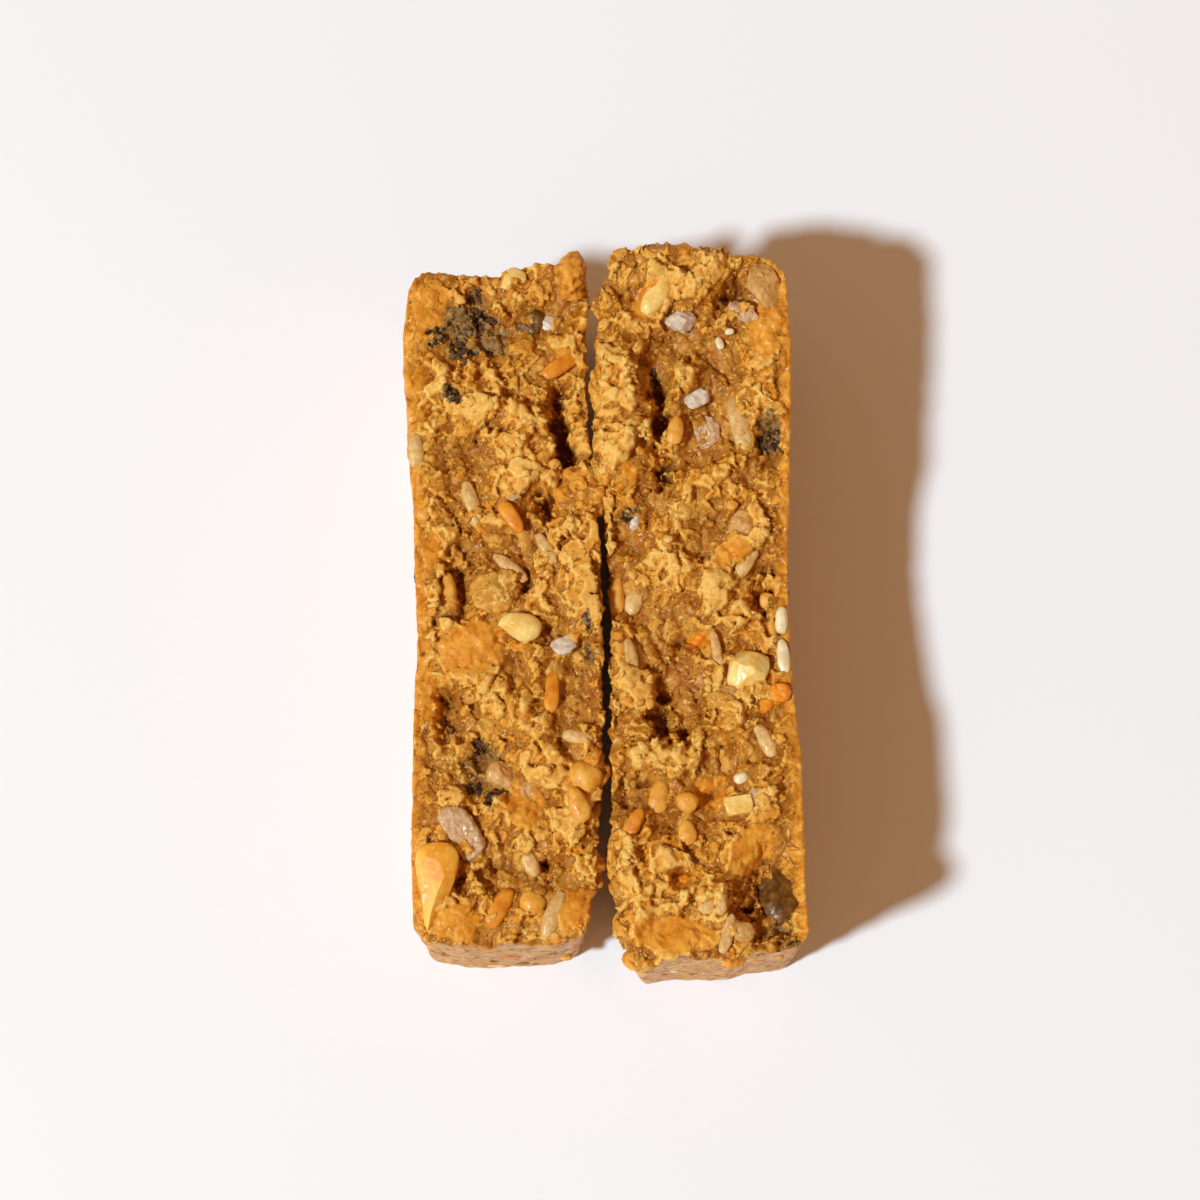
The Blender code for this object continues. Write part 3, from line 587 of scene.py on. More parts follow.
def makeHalf(name, half):
    # a grid becomes the torn face, and rings of its rim pulled down become the walls
    width, length, cell = halfForm["thickness"], halfForm["length"], halfForm["cell"]
    columns, rows = round(width / cell), round(length / cell)
    fadeBroken, fadeRim, fadeDown = halfForm["raggedFade"]
    skinFrom, skinOver = halfForm["skin"]
    bm = bmesh.new()
    bmesh.ops.create_grid(bm, x_segments=columns, y_segments=rows, size=0.5)
    top = list(bm.verts)
    rim = [e for e in bm.edges if e.is_boundary]
    rimVerts = {v for e in rim for v in e.verts}
    ringOf = {}
    for ring in range(1, halfForm["rings"] + 2):
        grown = bmesh.ops.extrude_edge_only(bm, edges=rim)["geom"]
        rim = [g for g in grown if isinstance(g, bmesh.types.BMEdge)]
        ringOf.update({g: ring for g in grown if isinstance(g, bmesh.types.BMVert)})
    bmesh.ops.contextual_create(bm, geom=rim)
    # the torn face
    flat = np.array([v.co[:2] for v in top])
    column = np.rint((flat[:, 0] + 0.5) * columns).astype(int)
    row = np.rint((flat[:, 1] + 0.5) * rows).astype(int)
    grid = np.zeros((rows + 1, columns + 1, 2))
    grid[row, column] = [plan(half, a * width, b * length) for a, b in flat.tolist()]
    x, y = grid[..., 0], grid[..., 1]
    face = tornRelief(half, x, y)
    z = face["z"]
    soft = blurred(z, 3)
    slopeY = np.gradient(soft, axis=0) / cell
    slopeX = np.gradient(soft, axis=1) / cell
    steep = np.maximum(np.hypot(slopeX, slopeY), 1e-6)
    push = np.minimum(tornFace["overhang"] * steep, tornFace["pushLimit"]) / steep
    push = push * step(soft - blurred(z, 8), -0.1, 0.3)
    pushX, pushY = blurred(-slopeX * push, 1), blurred(-slopeY * push, 1)
    # painted shade: the deeper a place lies below its blurred surroundings, the darker its colour
    sunk = sum((blurred(z, reach) - z) * weight for reach, weight in tornFace["cavities"])
    paintedShade = np.clip(sunk, 0, 1)
    # painted highlight and shade: the tone is paler where the face bulges above a close blur of it and
    # browner where it dips
    tone = face["crest"] + np.clip((z - blurred(z, 2)) * 1.6, -0.3, 0.3)
    half["grid"] = {**face, "x": x + pushX, "y": y + pushY, "soft": soft, "edge": blurred(z, 5) - z}
    shades = np.zeros((len(bm.verts), 8))
    rimHeight = {}
    strays = {}
    bm.verts.index_update()
    for v, i, j in zip(top, row.tolist(), column.tolist()):
        across, lengthwise = v.co.x * width, v.co.y * length
        place = Vector((float(x[i, j]), float(y[i, j]), float(z[i, j])))
        toInner = width / 2 - half["innerSide"] * across
        toEnd = length / 2 - abs(lengthwise)
        fade = math.exp(-(min(toInner, toEnd) / fadeBroken) ** 2)
        ragged = Vector()
        for size, reach in halfForm["raggedRim"]:
            ragged += noise.noise_vector(place / size) * reach
        stray = Vector((ragged.x, ragged.y, 0)) * (0.25 + 0.75 * fade)
        stray *= math.exp(-(min(toInner, toEnd, width - toInner) / fadeRim) ** 2)
        if v in rimVerts:
            key = (round(v.co.x, 6), round(v.co.y, 6))
            place.z -= halfForm["rimDrop"]
            rimHeight[key] = place.z
            strays[key] = stray
        else:
            place += Vector((float(pushX[i, j]), float(pushY[i, j]), 0))
        v.co = place + stray
        shades[v.index] = (tone[i, j], paintedShade[i, j], face["smear"][i, j], 0,
                           face["amber"][i, j], face["bean"][i, j], face["tone"][i, j], 0)
    # the sides
    for v, ring in ringOf.items():
        key = (round(v.co.x, 6), round(v.co.y, 6))
        across, lengthwise = v.co.x * width, v.co.y * length
        a, b = plan(half, across, lengthwise)
        rimZ = rimHeight[key]
        share = 1 - (ring / halfForm["rings"]) ** halfForm["ringPower"]
        level = rimZ * share + halfForm["foot"] * (1 - share)
        if ring > halfForm["rings"]:
            level = 0.0
        out = outward(across, lengthwise)
        lowered = 1 - level / halfForm["height"]
        leaning = max(0.0, half["innerSide"] * across / width * 2)
        a -= half["innerSide"] * halfForm["lean"] * lowered * leaning
        spot = Vector((a, b, level))
        size, rise = halfForm["wave"]
        wave = noise.noise(spot / size) * rise
        size, rise = halfForm["dents"]
        dents = noise.fractal(spot / size, 0.8, 2.0, 3) * rise
        size, radius, rise = halfForm["bumps"]
        bumps = max(0.0, radius - noise.voronoi(spot / size)[0][0]) * rise
        size, threshold, depth = halfForm["holes"]
        holes = max(0.0, noise.fractal(spot / size + Vector((9, 0, 0)), 0.7, 2.0, 3) - threshold)
        hold = min(1.0, (rimZ - level) / 1.5) * (0.5 + 0.5 * min(1.0, level / 0.6))
        spot += out * (-sideInset(level) + (wave + dents + bumps - depth * min(0.6, holes)) * hold)
        v.co = spot + strays[key] * math.exp(-(rimZ - level) / fadeDown)
        skin = min(1.0, max(0.0, (rimZ - level - skinFrom) / skinOver))
        # painted shade darkens the holes; the crest tone follows the dents
        shades[v.index] = (0.55 + 1.5 * dents, min(0.9, holes * 2.2), 0, skin, 0.55 * (1 - skin), 0, 0.5, 0)
    bmesh.ops.recalc_face_normals(bm, faces=bm.faces)
    return makePiece(name, bm, crumb, shades)


makeHalf("leftHalf", leftHalf)
makeHalf("rightHalf", rightHalf)
print("halves made")


def heightAt(x, y):
    # the torn face's height around a place
    gap = (along(leftHalf["inner"], y) + along(rightHalf["inner"], y)) / 2
    grid = (leftHalf if x < gap else rightHalf)["grid"]
    apart = (grid["x"] - x) ** 2 + (grid["y"] - y) ** 2
    return float(grid["soft"].ravel()[apart.argmin()])


# Lumps of crumb: the bridge between the halves, and the crags that hang over the rims

crags = {
    # how uneven, cracked, gritty and lumpy their skin is: width and rise
    "uneven": (1.6, 0.22), "crackSize": 1.8, "grit": (0.3, 0.09), "lumps": (0.75, 0.16),
    # x, y, z, half sizes, amber
    "bridge": [(-1.6, 11.2, 24.5, 2.9, 2.5, 1.9, 0.5), (1, 12.8, 24.7, 2.1, 2.4, 1.8, 0.3)],
    "rims": [
        (-2.9, 33.2, 25.4, 1.6, 2.5, 2, 0.7), (-8.9, 32.6, 25.1, 1.8, 1.4, 1.4, 0.2),
        (-0.6, -17, 24.3, 1.4, 2, 1.6, 0.1), (-0.9, -27.2, 24.2, 1.3, 2.2, 1.5, 0.2),
        (2.4, 34.6, 25.8, 1.6, 1.6, 1.3, 0.2), (7, 35.5, 26.2, 2.6, 1.2, 1.4, 0.5),
        (11.8, 35, 25.8, 1.6, 1.2, 1.3, 0.5), (0.6, 30.6, 25.5, 1.4, 1.7, 1.2, 0.2),
        (0.2, 21.5, 25.8, 1.3, 2.4, 1.4, 0.1), (1.5, -26.2, 23.2, 0.8, 3, 2.8, 0),
        (2.6, -33, 24.6, 1.3, 1.8, 1.3, 0.3), (13.1, -35.3, 24.4, 1.3, 1.4, 1.7, 0.8),
        (4, -36, 25, 1.8, 1.1, 1.4, 0.4), (-17.3, 31.6, 24.3, 1.9, 2.2, 1.4, 0.8),
    ],
    "tan": [
        (-10.6, 0.8, 24.9, 2.5, 2.1, 1.1, 0), (-14.4, -32.3, 25, 1.9, 1.4, 1, 0.5),
        (8.4, 9.4, 24.6, 1.7, 1.3, 0.8, 0.2), (12, -10, 24.6, 1.6, 1, 0.8, 0.1),
        (-6.8, 24.2, 24.6, 1.8, 1.4, 0.9, 0.1),
    ],
}


def addCrag(bm, at, halfSizes, amber, detail, seed, tan):
    # a ball pulled to its half sizes, cracked and gritty; a tan one is smoother
    (unevenSize, unevenRise), crackSize = crags["uneven"], crags["crackSize"]
    (gritSize, gritRise), (lumpSize, lumpRise) = crags["grit"], crags["lumps"]
    small = bmesh.new()
    bmesh.ops.create_icosphere(small, subdivisions=detail, radius=1)
    rows = []
    for v in small.verts:
        spot = v.co.copy()
        uneven = 1 + unevenRise * noise.noise(spot * unevenSize + Vector((seed, 0, 0)))
        place = Vector([spot[k] * halfSizes[k] for k in range(3)]) * uneven + Vector(at)
        crack = float(step(terrace(place.x + seed, place.y + place.z, crackSize), -0.1, 0.12))
        grit = gritRise * noise.noise(place / gritSize)
        lumps = lumpRise * noise.noise(place / lumpSize)
        v.co = place + spot * ((0.3 - 0.2 * tan) * crack - 0.2 + grit + lumps)
        # painted shade: the crag is darkened low down, below the rim, and in its cracks
        under = max(0.0, min(1.0, (24.2 - place.z) / 2.5))
        paintedShade = under * 0.6 + 0.2 * (1 - crack)
        rows.append((0.45 + 0.4 * crack - 0.5 * tan, paintedShade, 0, 0, amber, tan, 1, 0))
    pour(small, bm)
    return rows


bm = bmesh.new()
shades = []
for kind, detail, first, tan in (("bridge", 6, 0, 0), ("rims", 5, 2, 0), ("tan", 5, 20, 1)):
    for index, (*at, w, d, h, amber) in enumerate(crags[kind], first):
        shades += addCrag(bm, at, (w, d, h), amber, detail, index * 3.7, tan)
makePiece("bridgeAndCrags", bm, crumb, shades)


# Seeds, nuts, grains and fruit
# Places: x, y, length, width, turn, rise above the crumb, then the tilt or the number of flat cuts.
# Thick, taper and blunt give the oval's form, rough its unevenness, onSides how many lie in the walls.

seeds = {
    "places": [
        (-3.8, 24.1, 4.7, 1.6, 35, 0.5, 8), (-8.9, 8.3, 3.7, 1.6, -55, 0.45, 0),
        (-4.8, -9.1, 4.6, 1.5, 86, 0.2, 10), (-9.9, -30.9, 4.4, 1.9, 60, -0.1, 6),
        (3.2, -22.9, 3.7, 1.5, 62, 0.35, -6),
    ],
    "thick": 0.7, "taper": 0.12, "detail": 4, "blunt": 2.7, "rough": 0.03, "onSides": 4, "seed": 11,
}
sesames = {
    "places": [
        (-15.2, 1, 4, 1.7, 92, -0.1, 0), (-1.5, -17.8, 3.4, 2.9, 140, 0.3, 0),
        (-2.1, -20.8, 3.7, 2, 110, 0, 0), (7.6, 17.3, 3.1, 1.7, 80, 0.6, 0),
        (8.6, -20.4, 2.3, 2.1, 150, 0.2, 0), (8.6, -23.5, 2.5, 1.8, 95, 0.2, 0),
        (16.9, 0.5, 1.7, 1.6, 0, 0.1, 0), (5.9, -19.7, 3.5, 2, 80, -0.1, 0),
        (-6.6, -30.4, 2.6, 2.4, 0, 0, 0), (1.7, 1, 4.7, 1.5, 90, 0.1, 0), (13.3, 9.8, 1.2, 1.1, 0, 0.1, 0),
        (-17.6, 8.8, 1.6, 1.3, 60, 0, 0),
    ],
    "thick": 0.7, "taper": 0.22, "detail": 4, "blunt": 2.2, "rough": 0.04, "onSides": 10, "seed": 8,
}
grains = {
    "places": [
        (-12.9, 9.9, 4.9, 1.7, 105, -0.2, 0), (-18.5, 15.2, 3.6, 1.6, 92, -0.1, 0),
        (-7, -26.1, 3.6, 1.5, 115, 0.05, 0), (-4.6, -31.6, 4.8, 1.7, 70, -0.15, 0),
        (14.1, 17.8, 6, 2, 105, -0.15, 0), (16.9, -14.7, 5.8, 1.7, 120, -0.3, 0),
        (11.9, -30.8, 2.2, 1.1, 85, 0.2, 0), (12.5, -33.6, 4, 1.2, 75, 0.1, 0),
        (10.5, -30.8, 1.9, 1.8, 0, -0.4, 0), (-9, 3.4, 4.2, 1.4, 140, -0.2, 0),
        (11.7, -5.1, 4.6, 1, 100, 0.3, 0), (3.5, 0.6, 3.4, 1.8, 70, -0.4, 0),
        (-2.2, -13.8, 3.2, 1.4, -10, -0.1, 0), (14.8, 4.4, 4, 1.6, 60, -0.4, 0),
        (-5.4, 5.2, 3.6, 1.3, 120, -0.1, 0), (3, -5.6, 3.8, 1.6, 100, -0.2, 0),
    ],
    "thick": 0.7, "taper": 0.10, "detail": 4, "blunt": 2.4, "rough": 0.07, "onSides": 12, "seed": 10,
}
rice = {
    "places": [
        (18.2, -1.8, 2.8, 1.25, 88, 0.2, 0), (18.35, -5.5, 3.6, 1.3, 96, 0.1, 0),
        (14, -18, 1.5, 1.1, 20, 0.2, 0), (12.1, 26.3, 1.3, 0.8, 110, 0.3, 0),
        (13.1, 27.5, 0.9, 0.7, 0, 0.2, 0),
    ],
    "thick": 0.8, "taper": 0.08, "detail": 4, "blunt": 2.6, "rough": 0.03, "onSides": 3, "seed": 4,
}
nuts = {
    "places": [
        (-8, -2.7, 4.3, 2.9, -8, 0.35, 1), (5.6, 30.8, 4.1, 2.2, 55, 0.45, 2),
        (14.7, -6.9, 5.2, 4.2, 60, 0.4, 9), (-8.9, 32.7, 3.2, 2.6, 60, 0.1, 4),
    ],
    "thick": 0.62, "detail": 5, "blunt": 2.3, "rough": 0.035, "onSides": 4, "seed": 4,
}
cubes = {
    "places": [(13.7, -20.7, 2.8, 2.2, 12, 0.6, 2)],
    "thick": 0.8, "detail": 5, "blunt": 5.0, "rough": 0.05, "onSides": 0, "seed": 11,
}
tanNuts = {
    "places": [
        (-9.6, -17.6, 3.7, 2.8, 150, 0.15, 3), (16.8, 32, 5.2, 3.4, 110, -0.4, 3),
        (14.2, 7.7, 3.6, 2.4, 70, -0.3, 2), (-6.9, -19.2, 2.4, 2.2, 0, -0.4, 1),
        (14.1, -33.4, 2.2, 2.1, 0, -0.1, 0), (12.4, -9.6, 3, 1.8, 20, -0.3, 2),
    ],
    "thick": 0.6, "detail": 5, "blunt": 2.2, "rough": 0.10, "onSides": 8, "seed": 7,
}
shards = {
    "places": [(-16.3, -28.9, 8.8, 3.5, 264, 0.55, 3)],
    "thick": 0.62, "taper": 0.62, "detail": 6, "blunt": 2.6, "rough": 0.015, "onSides": 0, "seed": 10,
}
ambers = {
    "places": [
        (17.9, -9.3, 2.2, 2, 0, 0.3, 1), (16.3, -10.5, 2.4, 1.6, 30, -0.2, 1),
        (9.9, -3.4, 2.4, 1.8, 20, -0.3, 3), (8.3, -28.2, 1.6, 1.2, 20, -0.3, 2),
        (-4.2, 9.6, 1.8, 1.2, 60, -0.6, 1),
    ],
    "thick": 0.6, "detail": 5, "blunt": 2.2, "rough": 0.08, "onSides": 3, "seed": 11,
}
milky = {
    "places": [
        (9.8, 20.8, 2.7, 2, 30, 0.5, 4), (-3.7, -4.6, 2.6, 1.8, 20, 0.4, 4),
        (8.2, 28.4, 3.2, 2.4, 20, 0.7, 6), (-5.4, 28.7, 2.2, 1.6, 0, -0.2, 3), (3.6, 8.2, 2, 1, 70, 0, 3),
    ],
    "thick": 0.55, "detail": 4, "blunt": 2.6, "rough": 0.14, "onSides": 3, "seed": 11,
}
mauves = {
    "places": [
        (-13.7, -23.5, 5.8, 3.5, 125, -0.1, 2), (10.9, 17.3, 3.6, 2.6, 100, -0.3, 3),
        (14.7, 29.5, 3.6, 2, 150, -0.2, 3), (-8.4, 11, 2.4, 1.4, 40, -0.6, 2),
        (15.4, -20.2, 2.2, 1.6, 60, -0.3, 2),
    ],
    "thick": 0.5, "detail": 5, "blunt": 2.6, "rough": 0.16, "onSides": 4, "seed": 11,
}
olives = {
    "places": [(17.7, -29.3, 6.6, 4, 105, 0.6, 2), (-7.1, 28.7, 3.2, 2.6, 60, -0.35, 2)],
    "thick": 0.45, "detail": 5, "blunt": 2.2, "rough": 0.10, "onSides": 1, "seed": 10,
}


lumpForm = {
    "cutReach": (0.58, 0.82), "uneven": 0.06, "grain": 0.45,
    # in the walls: the share in the long one, places along the walls, heights, sizes, what shows
    "inLongWall": 0.6, "alongSide": 32, "alongEnd": 7.5, "levels": (2.5, 21.5),
    "longest": 4.5, "widest": 2.8, "smaller": (0.7, 1.0), "showing": 0.22,
}


def lumpShape(kind, length, width, flats, seed, coarser=0):
    # an oval, narrower at one end by its taper, with flat cuts where it is a chunk
    small = bmesh.new()
    bmesh.ops.create_icosphere(small, subdivisions=kind["detail"] - coarser, radius=1)
    pick = random.Random(seed)
    cuts = []
    for _ in range(flats):
        cut = Vector((pick.uniform(-1, 1), pick.uniform(-1, 1), pick.uniform(-0.2, 0.9))).normalized()
        cuts.append((cut, pick.uniform(*lumpForm["cutReach"])))
    power = kind["blunt"]
    for v in small.verts:
        spot = v.co.copy()
        lump = 1 + lumpForm["uneven"] * noise.noise(spot * 1.5 + Vector((seed * 7.1, 0, 0)))
        spot *= lump / sum(abs(c) ** power for c in spot) ** (1 / power)
        for cut, reach in cuts:
            beyond = spot.dot(cut) - reach
            if beyond > 0:
                spot -= cut * beyond * 0.94
        narrow = 1 - kind.get("taper", 0.0) * spot.x
        height = spot.z * width / 2 * kind["thick"]
        v.co = Vector((spot.x * length / 2, spot.y * width / 2 * narrow, height))
        v.co += noise.noise_vector(v.co / lumpForm["grain"] + Vector((seed, 0, 0))) * kind["rough"]
    return small


def addLump(bm, place, kind, flats, seed):
    # beds a lump in the torn face
    x, y, length, width, turn, rise, tilt = place
    small = lumpShape(kind, length, width, flats, seed)
    turned = Matrix.Rotation(math.radians(turn), 3, "Z") @ Matrix.Rotation(math.radians(tilt), 3, "Y")
    bmesh.ops.rotate(small, cent=(0, 0, 0), matrix=turned, verts=small.verts)
    bmesh.ops.translate(small, vec=(x, y, heightAt(x, y) + rise), verts=small.verts)
    pour(small, bm)


def addSideLump(bm, half, kind, flats, seed):
    # beds a lump, with a coarser mesh, almost flush in one of a half's three pressed walls
    width, length = halfForm["thickness"], halfForm["length"]
    alongSide, alongEnd, smaller = (lumpForm[key] for key in ("alongSide", "alongEnd", "smaller"))
    if draw.random() < lumpForm["inLongWall"]:
        across, lengthwise = -half["innerSide"] * width / 2, draw.uniform(-alongSide, alongSide)
    else:
        across, lengthwise = draw.uniform(-alongEnd, alongEnd), draw.choice((-1, 1)) * length / 2
    level = draw.uniform(*lumpForm["levels"])
    out = outward(across, lengthwise)
    long, wide = draw.choice(kind["places"])[2:4]
    long = min(long, lumpForm["longest"]) * draw.uniform(*smaller)
    wide = min(wide, lumpForm["widest"]) * draw.uniform(*smaller)
    small = lumpShape(kind, long, wide, flats, seed, 1)
    turned = out.to_track_quat("Z", "Y").to_matrix() @ Matrix.Rotation(draw.uniform(0, math.pi), 3, "Z")
    bmesh.ops.rotate(small, cent=(0, 0, 0), matrix=turned, verts=small.verts)
    place = Vector((*plan(half, across, lengthwise), level))
    place -= out * (sideInset(level) + wide / 2 * kind["thick"] - lumpForm["showing"])
    bmesh.ops.translate(small, vec=place, verts=small.verts)
    pour(small, bm)


def makeLumps(name, kind, material, chunks):
    # one kind of seed, grain or nut; chunks have flat cuts, the others a tilt of their own
    bm = bmesh.new()
    for index, place in enumerate(kind["places"]):
        flats = place[6] if chunks else 0
        tilt = draw.uniform(-10, 10) if chunks else place[6]
        addLump(bm, (*place[:6], tilt), kind, flats, index + kind["seed"])
    for index in range(kind["onSides"]):
        half = (leftHalf, rightHalf)[index % 2]
        addSideLump(bm, half, kind, 2 if chunks else 0, index + 50 + kind["seed"])
    makePiece(name, bm, material)


wholeKinds = (("orangeSeeds", seeds, "orange seed"), ("tanSeeds", sesames, "tan seed"),
              ("paleGrains", grains, "pale grain"), ("rice", rice, "rice"))
choppedKinds = (("nuts", nuts, "nut"), ("yellowCubes", cubes, "nut"), ("tanNuts", tanNuts, "tan nut"),
                ("amberShard", shards, "amber paste"), ("amberPieces", ambers, "orange paste"),
                ("milkyGrains", milky, "milky grain"), ("mauveGrains", mauves, "mauve grain"),
                ("oliveSeeds", olives, "olive seed"))
for name, kind, finish in wholeKinds:
    makeLumps(name, kind, smooth[finish], False)
for name, kind, finish in choppedKinds:
    makeLumps(name, kind, smooth[finish], True)

fruit = {
    # dark fruit, broken into bits: x, y, how far they spread, how many, bit size
    "patches": [
        (-12.3, 29, 1.5, 7, 1), (-13.9, 25.8, 1.4, 8, 1), (-16.3, 26.8, 0.7, 3, 0.8),
        (-12.9, 31.3, 0.7, 3, 0.8), (-15, 20.6, 0.8, 4, 0.9), (-11.9, -14.8, 0.8, 4, 0.9),
        (-12.6, -18.9, 0.7, 4, 1), (-10.6, -19.9, 0.6, 3, 0.8), (17.3, 16.2, 1.2, 6, 1),
        (2.9, 9.4, 0.7, 3, 0.7), (5.6, 23.2, 0.8, 3, 0.7), (-1.3, -2.4, 0.8, 3, 0.7),
    ],
    "detail": 4, "thick": 0.5, "blunt": 2.2, "rough": 0.26, "onSides": 6,
    "long": (0.8, 1.6), "wide": (0.5, 0.9), "rise": -0.15, "tilt": 20,
    "places": [(0, 0, 2.4, 1.6), (0, 0, 1.8, 1.4)],  # only the sizes, for the bits in the walls
}
bm = bmesh.new()
for x, y, spreadOut, count, size in fruit["patches"]:
    for _ in range(count):
        angle = draw.uniform(0, 2 * math.pi)
        reach = spreadOut * math.sqrt(draw.random())
        at = (x + reach * math.cos(angle), y + reach * math.sin(angle))
        long, wide = size * draw.uniform(*fruit["long"]), size * draw.uniform(*fruit["wide"])
        turn, tilt = draw.uniform(0, 180), draw.uniform(-fruit["tilt"], fruit["tilt"])
        place = (*at, long, wide, turn, fruit["rise"], tilt)
        addLump(bm, place, fruit, 1, draw.randint(1, 999))
for index in range(fruit["onSides"]):
    addSideLump(bm, (leftHalf, rightHalf)[index % 2], fruit, 1, index)
makePiece("darkFruit", bm, smooth["dark fruit"])
print("seeds, nuts, grains and fruit made")


# Loose crumb on the torn faces: frayed flakes, and granules that gather along the broken edges

flakes = {
    "count": 140, "size": (0.6, 1.5), "thick": 0.22, "points": 14, "long": (0.45, 0.9),
    "ragged": (0.6, 1.25), "curl": 0.08, "peak": (0.05, 0.3), "taper": 0.82, "tip": 30, "sink": 0.08,
}
granules = {"count": 1200, "size": (0.16, 0.40), "detail": 1, "uneven": (0.85, 1.2), "stray": 0.1}
clearKinds = (seeds, rice, nuts, cubes, tanNuts, shards, milky, mauves, olives)
keptClear = [place for kind in clearKinds for place in kind["places"]]  # no loose crumb lies on these


def crumbSpots(half, count, standing):
    # grid places picked at random: where the broken crumb stands up, or in the hollows and beside its steps
    grid = half["grid"]
    if standing:
        weight = 0.01 + np.clip(-grid["edge"], 0, 0.6) ** 2 * (0.4 + np.clip(grid["crest"], 0, 1))
    else:
        weight = 0.02 + np.clip(0.9 - grid["crest"], 0, 1) * 0.5 + np.clip(abs(grid["edge"]) - 0.1, 0, 0.4)
    weight = weight * (1 - 0.8 * grid["amber"]) + 0.1 * grid["smear"]
    for x, y, length, width, turn, *_ in keptClear:
        weight[spread(grid["x"], grid["y"], x, y, length / 2 + 0.2, width / 2 + 0.2, turn) < 1] = 0
    weight[:2], weight[-2:], weight[:, :2], weight[:, -2:] = 0, 0, 0, 0
    total = np.cumsum(weight.ravel())
    for _ in range(count):
        k = int(np.searchsorted(total, draw.random() * total[-1]))
        yield {key: float(field.ravel()[k]) for key, field in grid.items()}


def makeFlakes():
    # ragged discs, raised in the middle and given a thickness
    bm = bmesh.new()
    shades = []
    for half in (leftHalf, rightHalf):
        for spot in crumbSpots(half, flakes["count"] // 2, True):
            size, long = draw.uniform(*flakes["size"]), draw.uniform(*flakes["long"])
            small = bmesh.new()
            bmesh.ops.create_circle(small, segments=flakes["points"], radius=size / 2, cap_ends=True)
            for v in small.verts:
                v.co.x *= draw.uniform(*flakes["ragged"])
                v.co.y *= draw.uniform(*flakes["ragged"]) * long
                v.co.z = draw.uniform(-flakes["curl"], flakes["curl"])
            poked = bmesh.ops.poke(small, faces=small.faces[:])
            poked["verts"][0].co.z += draw.uniform(*flakes["peak"])
            lifted = bmesh.ops.extrude_face_region(small, geom=poked["faces"])["geom"]
            raised = [g for g in lifted if isinstance(g, bmesh.types.BMVert)]
            bmesh.ops.scale(small, vec=(flakes["taper"], flakes["taper"], 1), verts=raised)
            thickness = flakes["thick"] * draw.uniform(0.7, 1.2)
            bmesh.ops.translate(small, vec=(0, 0, thickness), verts=raised)
            bmesh.ops.recalc_face_normals(small, faces=small.faces)
            turned = Matrix.Rotation(draw.uniform(0, 2 * math.pi), 3, "Z")
            tipped = Matrix.Rotation(math.radians(draw.uniform(0, flakes["tip"])), 3, "Y")
            bmesh.ops.rotate(small, cent=(0, 0, 0), matrix=turned @ tipped, verts=small.verts)
            at = (spot["x"], spot["y"], spot["z"] - flakes["sink"])
            bmesh.ops.translate(small, vec=at, verts=small.verts)
            tone = spot["crest"] + draw.uniform(0, 0.3)
            shade = (tone, 0, spot["smear"] * 0.8, 0, spot["amber"], 0, 0.5, 0)
            shades += [shade] * pour(small, bm)
    makePiece("flakes", bm, looseCrumb, shades)


def makeGranules(name, half):
    # small uneven balls, most of them of the smaller sizes
    bm = bmesh.new()
    shades = []
    for spot in crumbSpots(half, granules["count"], False):
        small = bmesh.new()
        bmesh.ops.create_icosphere(small, subdivisions=granules["detail"], radius=1)
        low, high = granules["size"]
        size = low + (high - low) * draw.random() ** 2
        for v in small.verts:
            v.co *= size / 2 * draw.uniform(*granules["uneven"])
        straying = [draw.uniform(-granules["stray"], granules["stray"]) for _ in range(2)]
        at = (spot["x"] + straying[0], spot["y"] + straying[1], spot["z"])
        bmesh.ops.translate(small, vec=at, verts=small.verts)
        tone = spot["crest"] + draw.uniform(0, 0.3)
        shade = (tone, 0, spot["smear"] * draw.random(), 0, spot["amber"] * 0.5, 0, 0.5, 0)
        shades += [shade] * pour(small, bm)
    makePiece(name, bm, looseCrumb, shades)


makeFlakes()
makeGranules("leftGranules", leftHalf)
makeGranules("rightGranules", rightHalf)
print("crumb scattered")


# Floor, light and camera

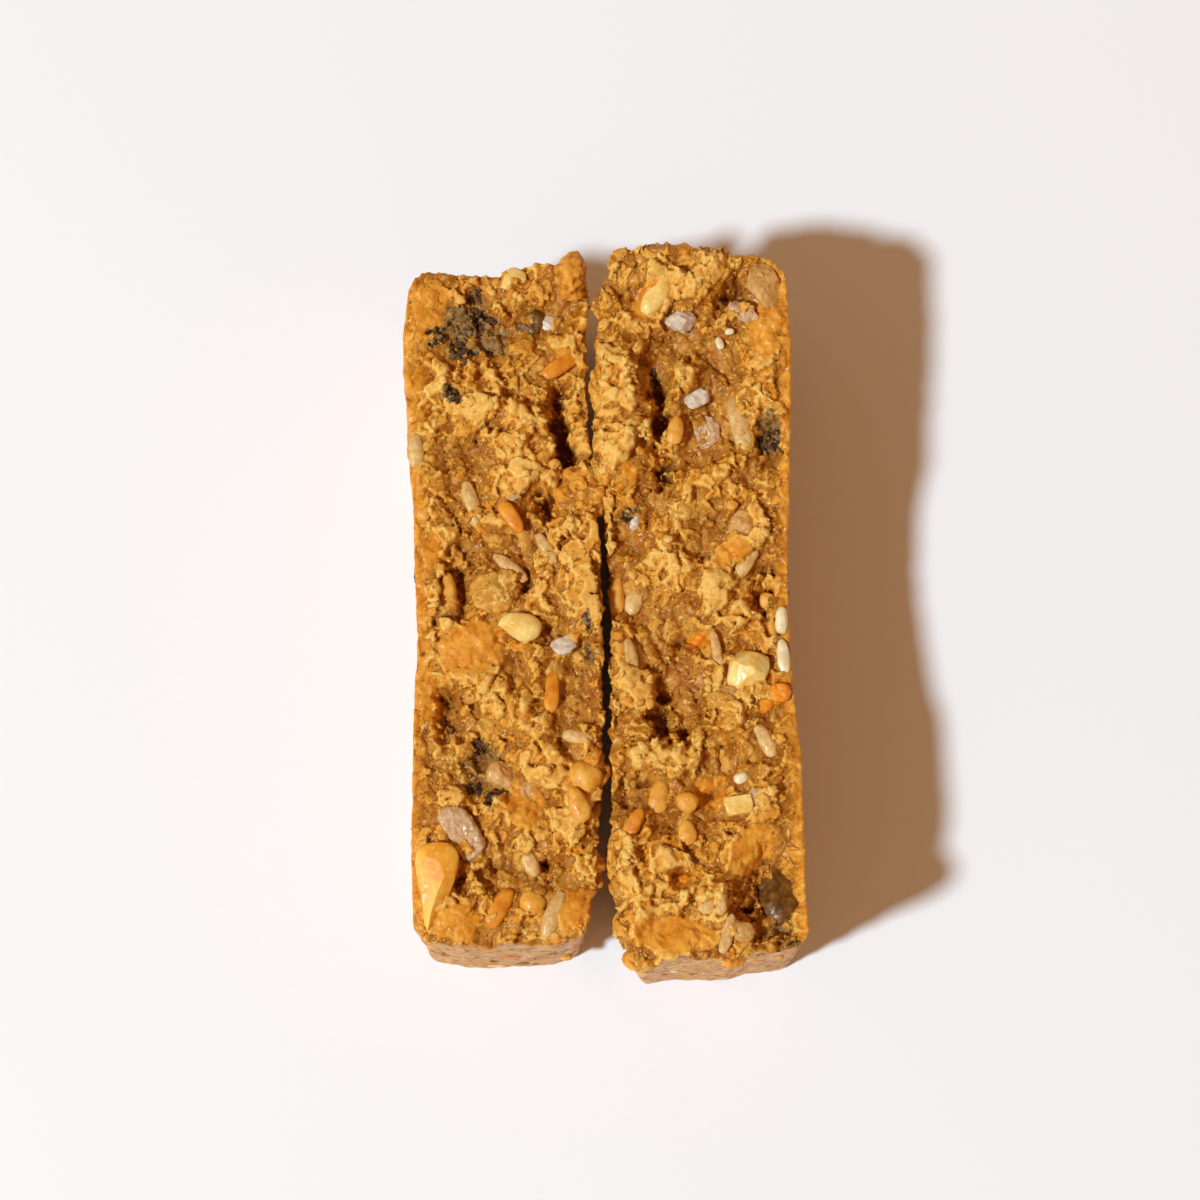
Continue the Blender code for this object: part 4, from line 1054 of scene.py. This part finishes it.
studio = {
    # in metres: the floor's width, and the lamp's size, distance and aim
    "floor": 2.4, "keySize": 0.185, "keyFar": 2.0, "keyAim": (0, 0, 0.012),
    "keyPower": 44.5, "keyUp": 54, "keyRound": 29, "keyColour": (0.71, 0.87, 1.0),  # angles in degrees
    "paper": colour(246, 243, 241), "fill": (0.36, 0.207, 0.108, 1),
    "backdrop": (0.93, 0.90, 0.87, 1),  # what the camera sees beyond the floor
}
view = {"tilt": 11.0, "far": 380.7, "lens": 114.2, "film": 36, "lookAt": (0, 0, 25)}

bm = bmesh.new()
bmesh.ops.create_grid(bm, x_segments=1, y_segments=1, size=studio["floor"] / 2)
floorMesh = bpy.data.meshes.new("floor")
bm.to_mesh(floorMesh)
bm.free()
paper = Finish("matt paper", {"Base Color": studio["paper"], "Roughness": 0.9, "Specular IOR Level": 0.1})
floorMesh.materials.append(paper.material)
floor = addObject("floor", floorMesh)

world = bpy.data.worlds.new("studio")
bpy.context.scene.world = world
world.use_nodes = True
air = Wiring(world.node_tree)
air.tree.nodes.remove(air.tree.nodes["Background"])
fill = air.node("ShaderNodeBackground", {}, {0: studio["fill"]})
backdrop = air.node("ShaderNodeBackground", {}, {0: studio["backdrop"]})
seen = air.node("ShaderNodeLightPath", {}, {}, "Is Camera Ray")
both = air.node("ShaderNodeMixShader", {}, {0: seen, 1: fill, 2: backdrop})
air.tree.links.new(both.socket, air.tree.nodes["World Output"].inputs[0])

up, about = math.radians(studio["keyUp"]), math.radians(studio["keyRound"])
way = Vector((-math.cos(up) * math.cos(about), -math.cos(up) * math.sin(about), math.sin(up)))
lamp = bpy.data.lights.new("key", "AREA")
lamp.shape = "DISK"
lamp.size = studio["keySize"]
lamp.energy = studio["keyPower"]
lamp.color = studio["keyColour"]
key = addObject("key", lamp)
key.location = way * studio["keyFar"] + Vector(studio["keyAim"])
key.rotation_euler = way.to_track_quat("Z", "Y").to_euler()

tilt = math.radians(view["tilt"])
lens = bpy.data.cameras.new("camera")
lens.lens = view["lens"]
lens.sensor_width = view["film"]
lens.clip_start = 0.01
camera = addObject("camera", lens)
look = (Vector(view["lookAt"]) + barShift) * mm
camera.location = look + Vector((0, -math.sin(tilt), math.cos(tilt))) * view["far"] * mm
camera.rotation_euler = (tilt, 0, 0)
bpy.context.scene.camera = camera
bpy.context.scene.view_settings.view_transform = "Standard"
print("studio set")

bpy.data.meshes.remove(scratch)
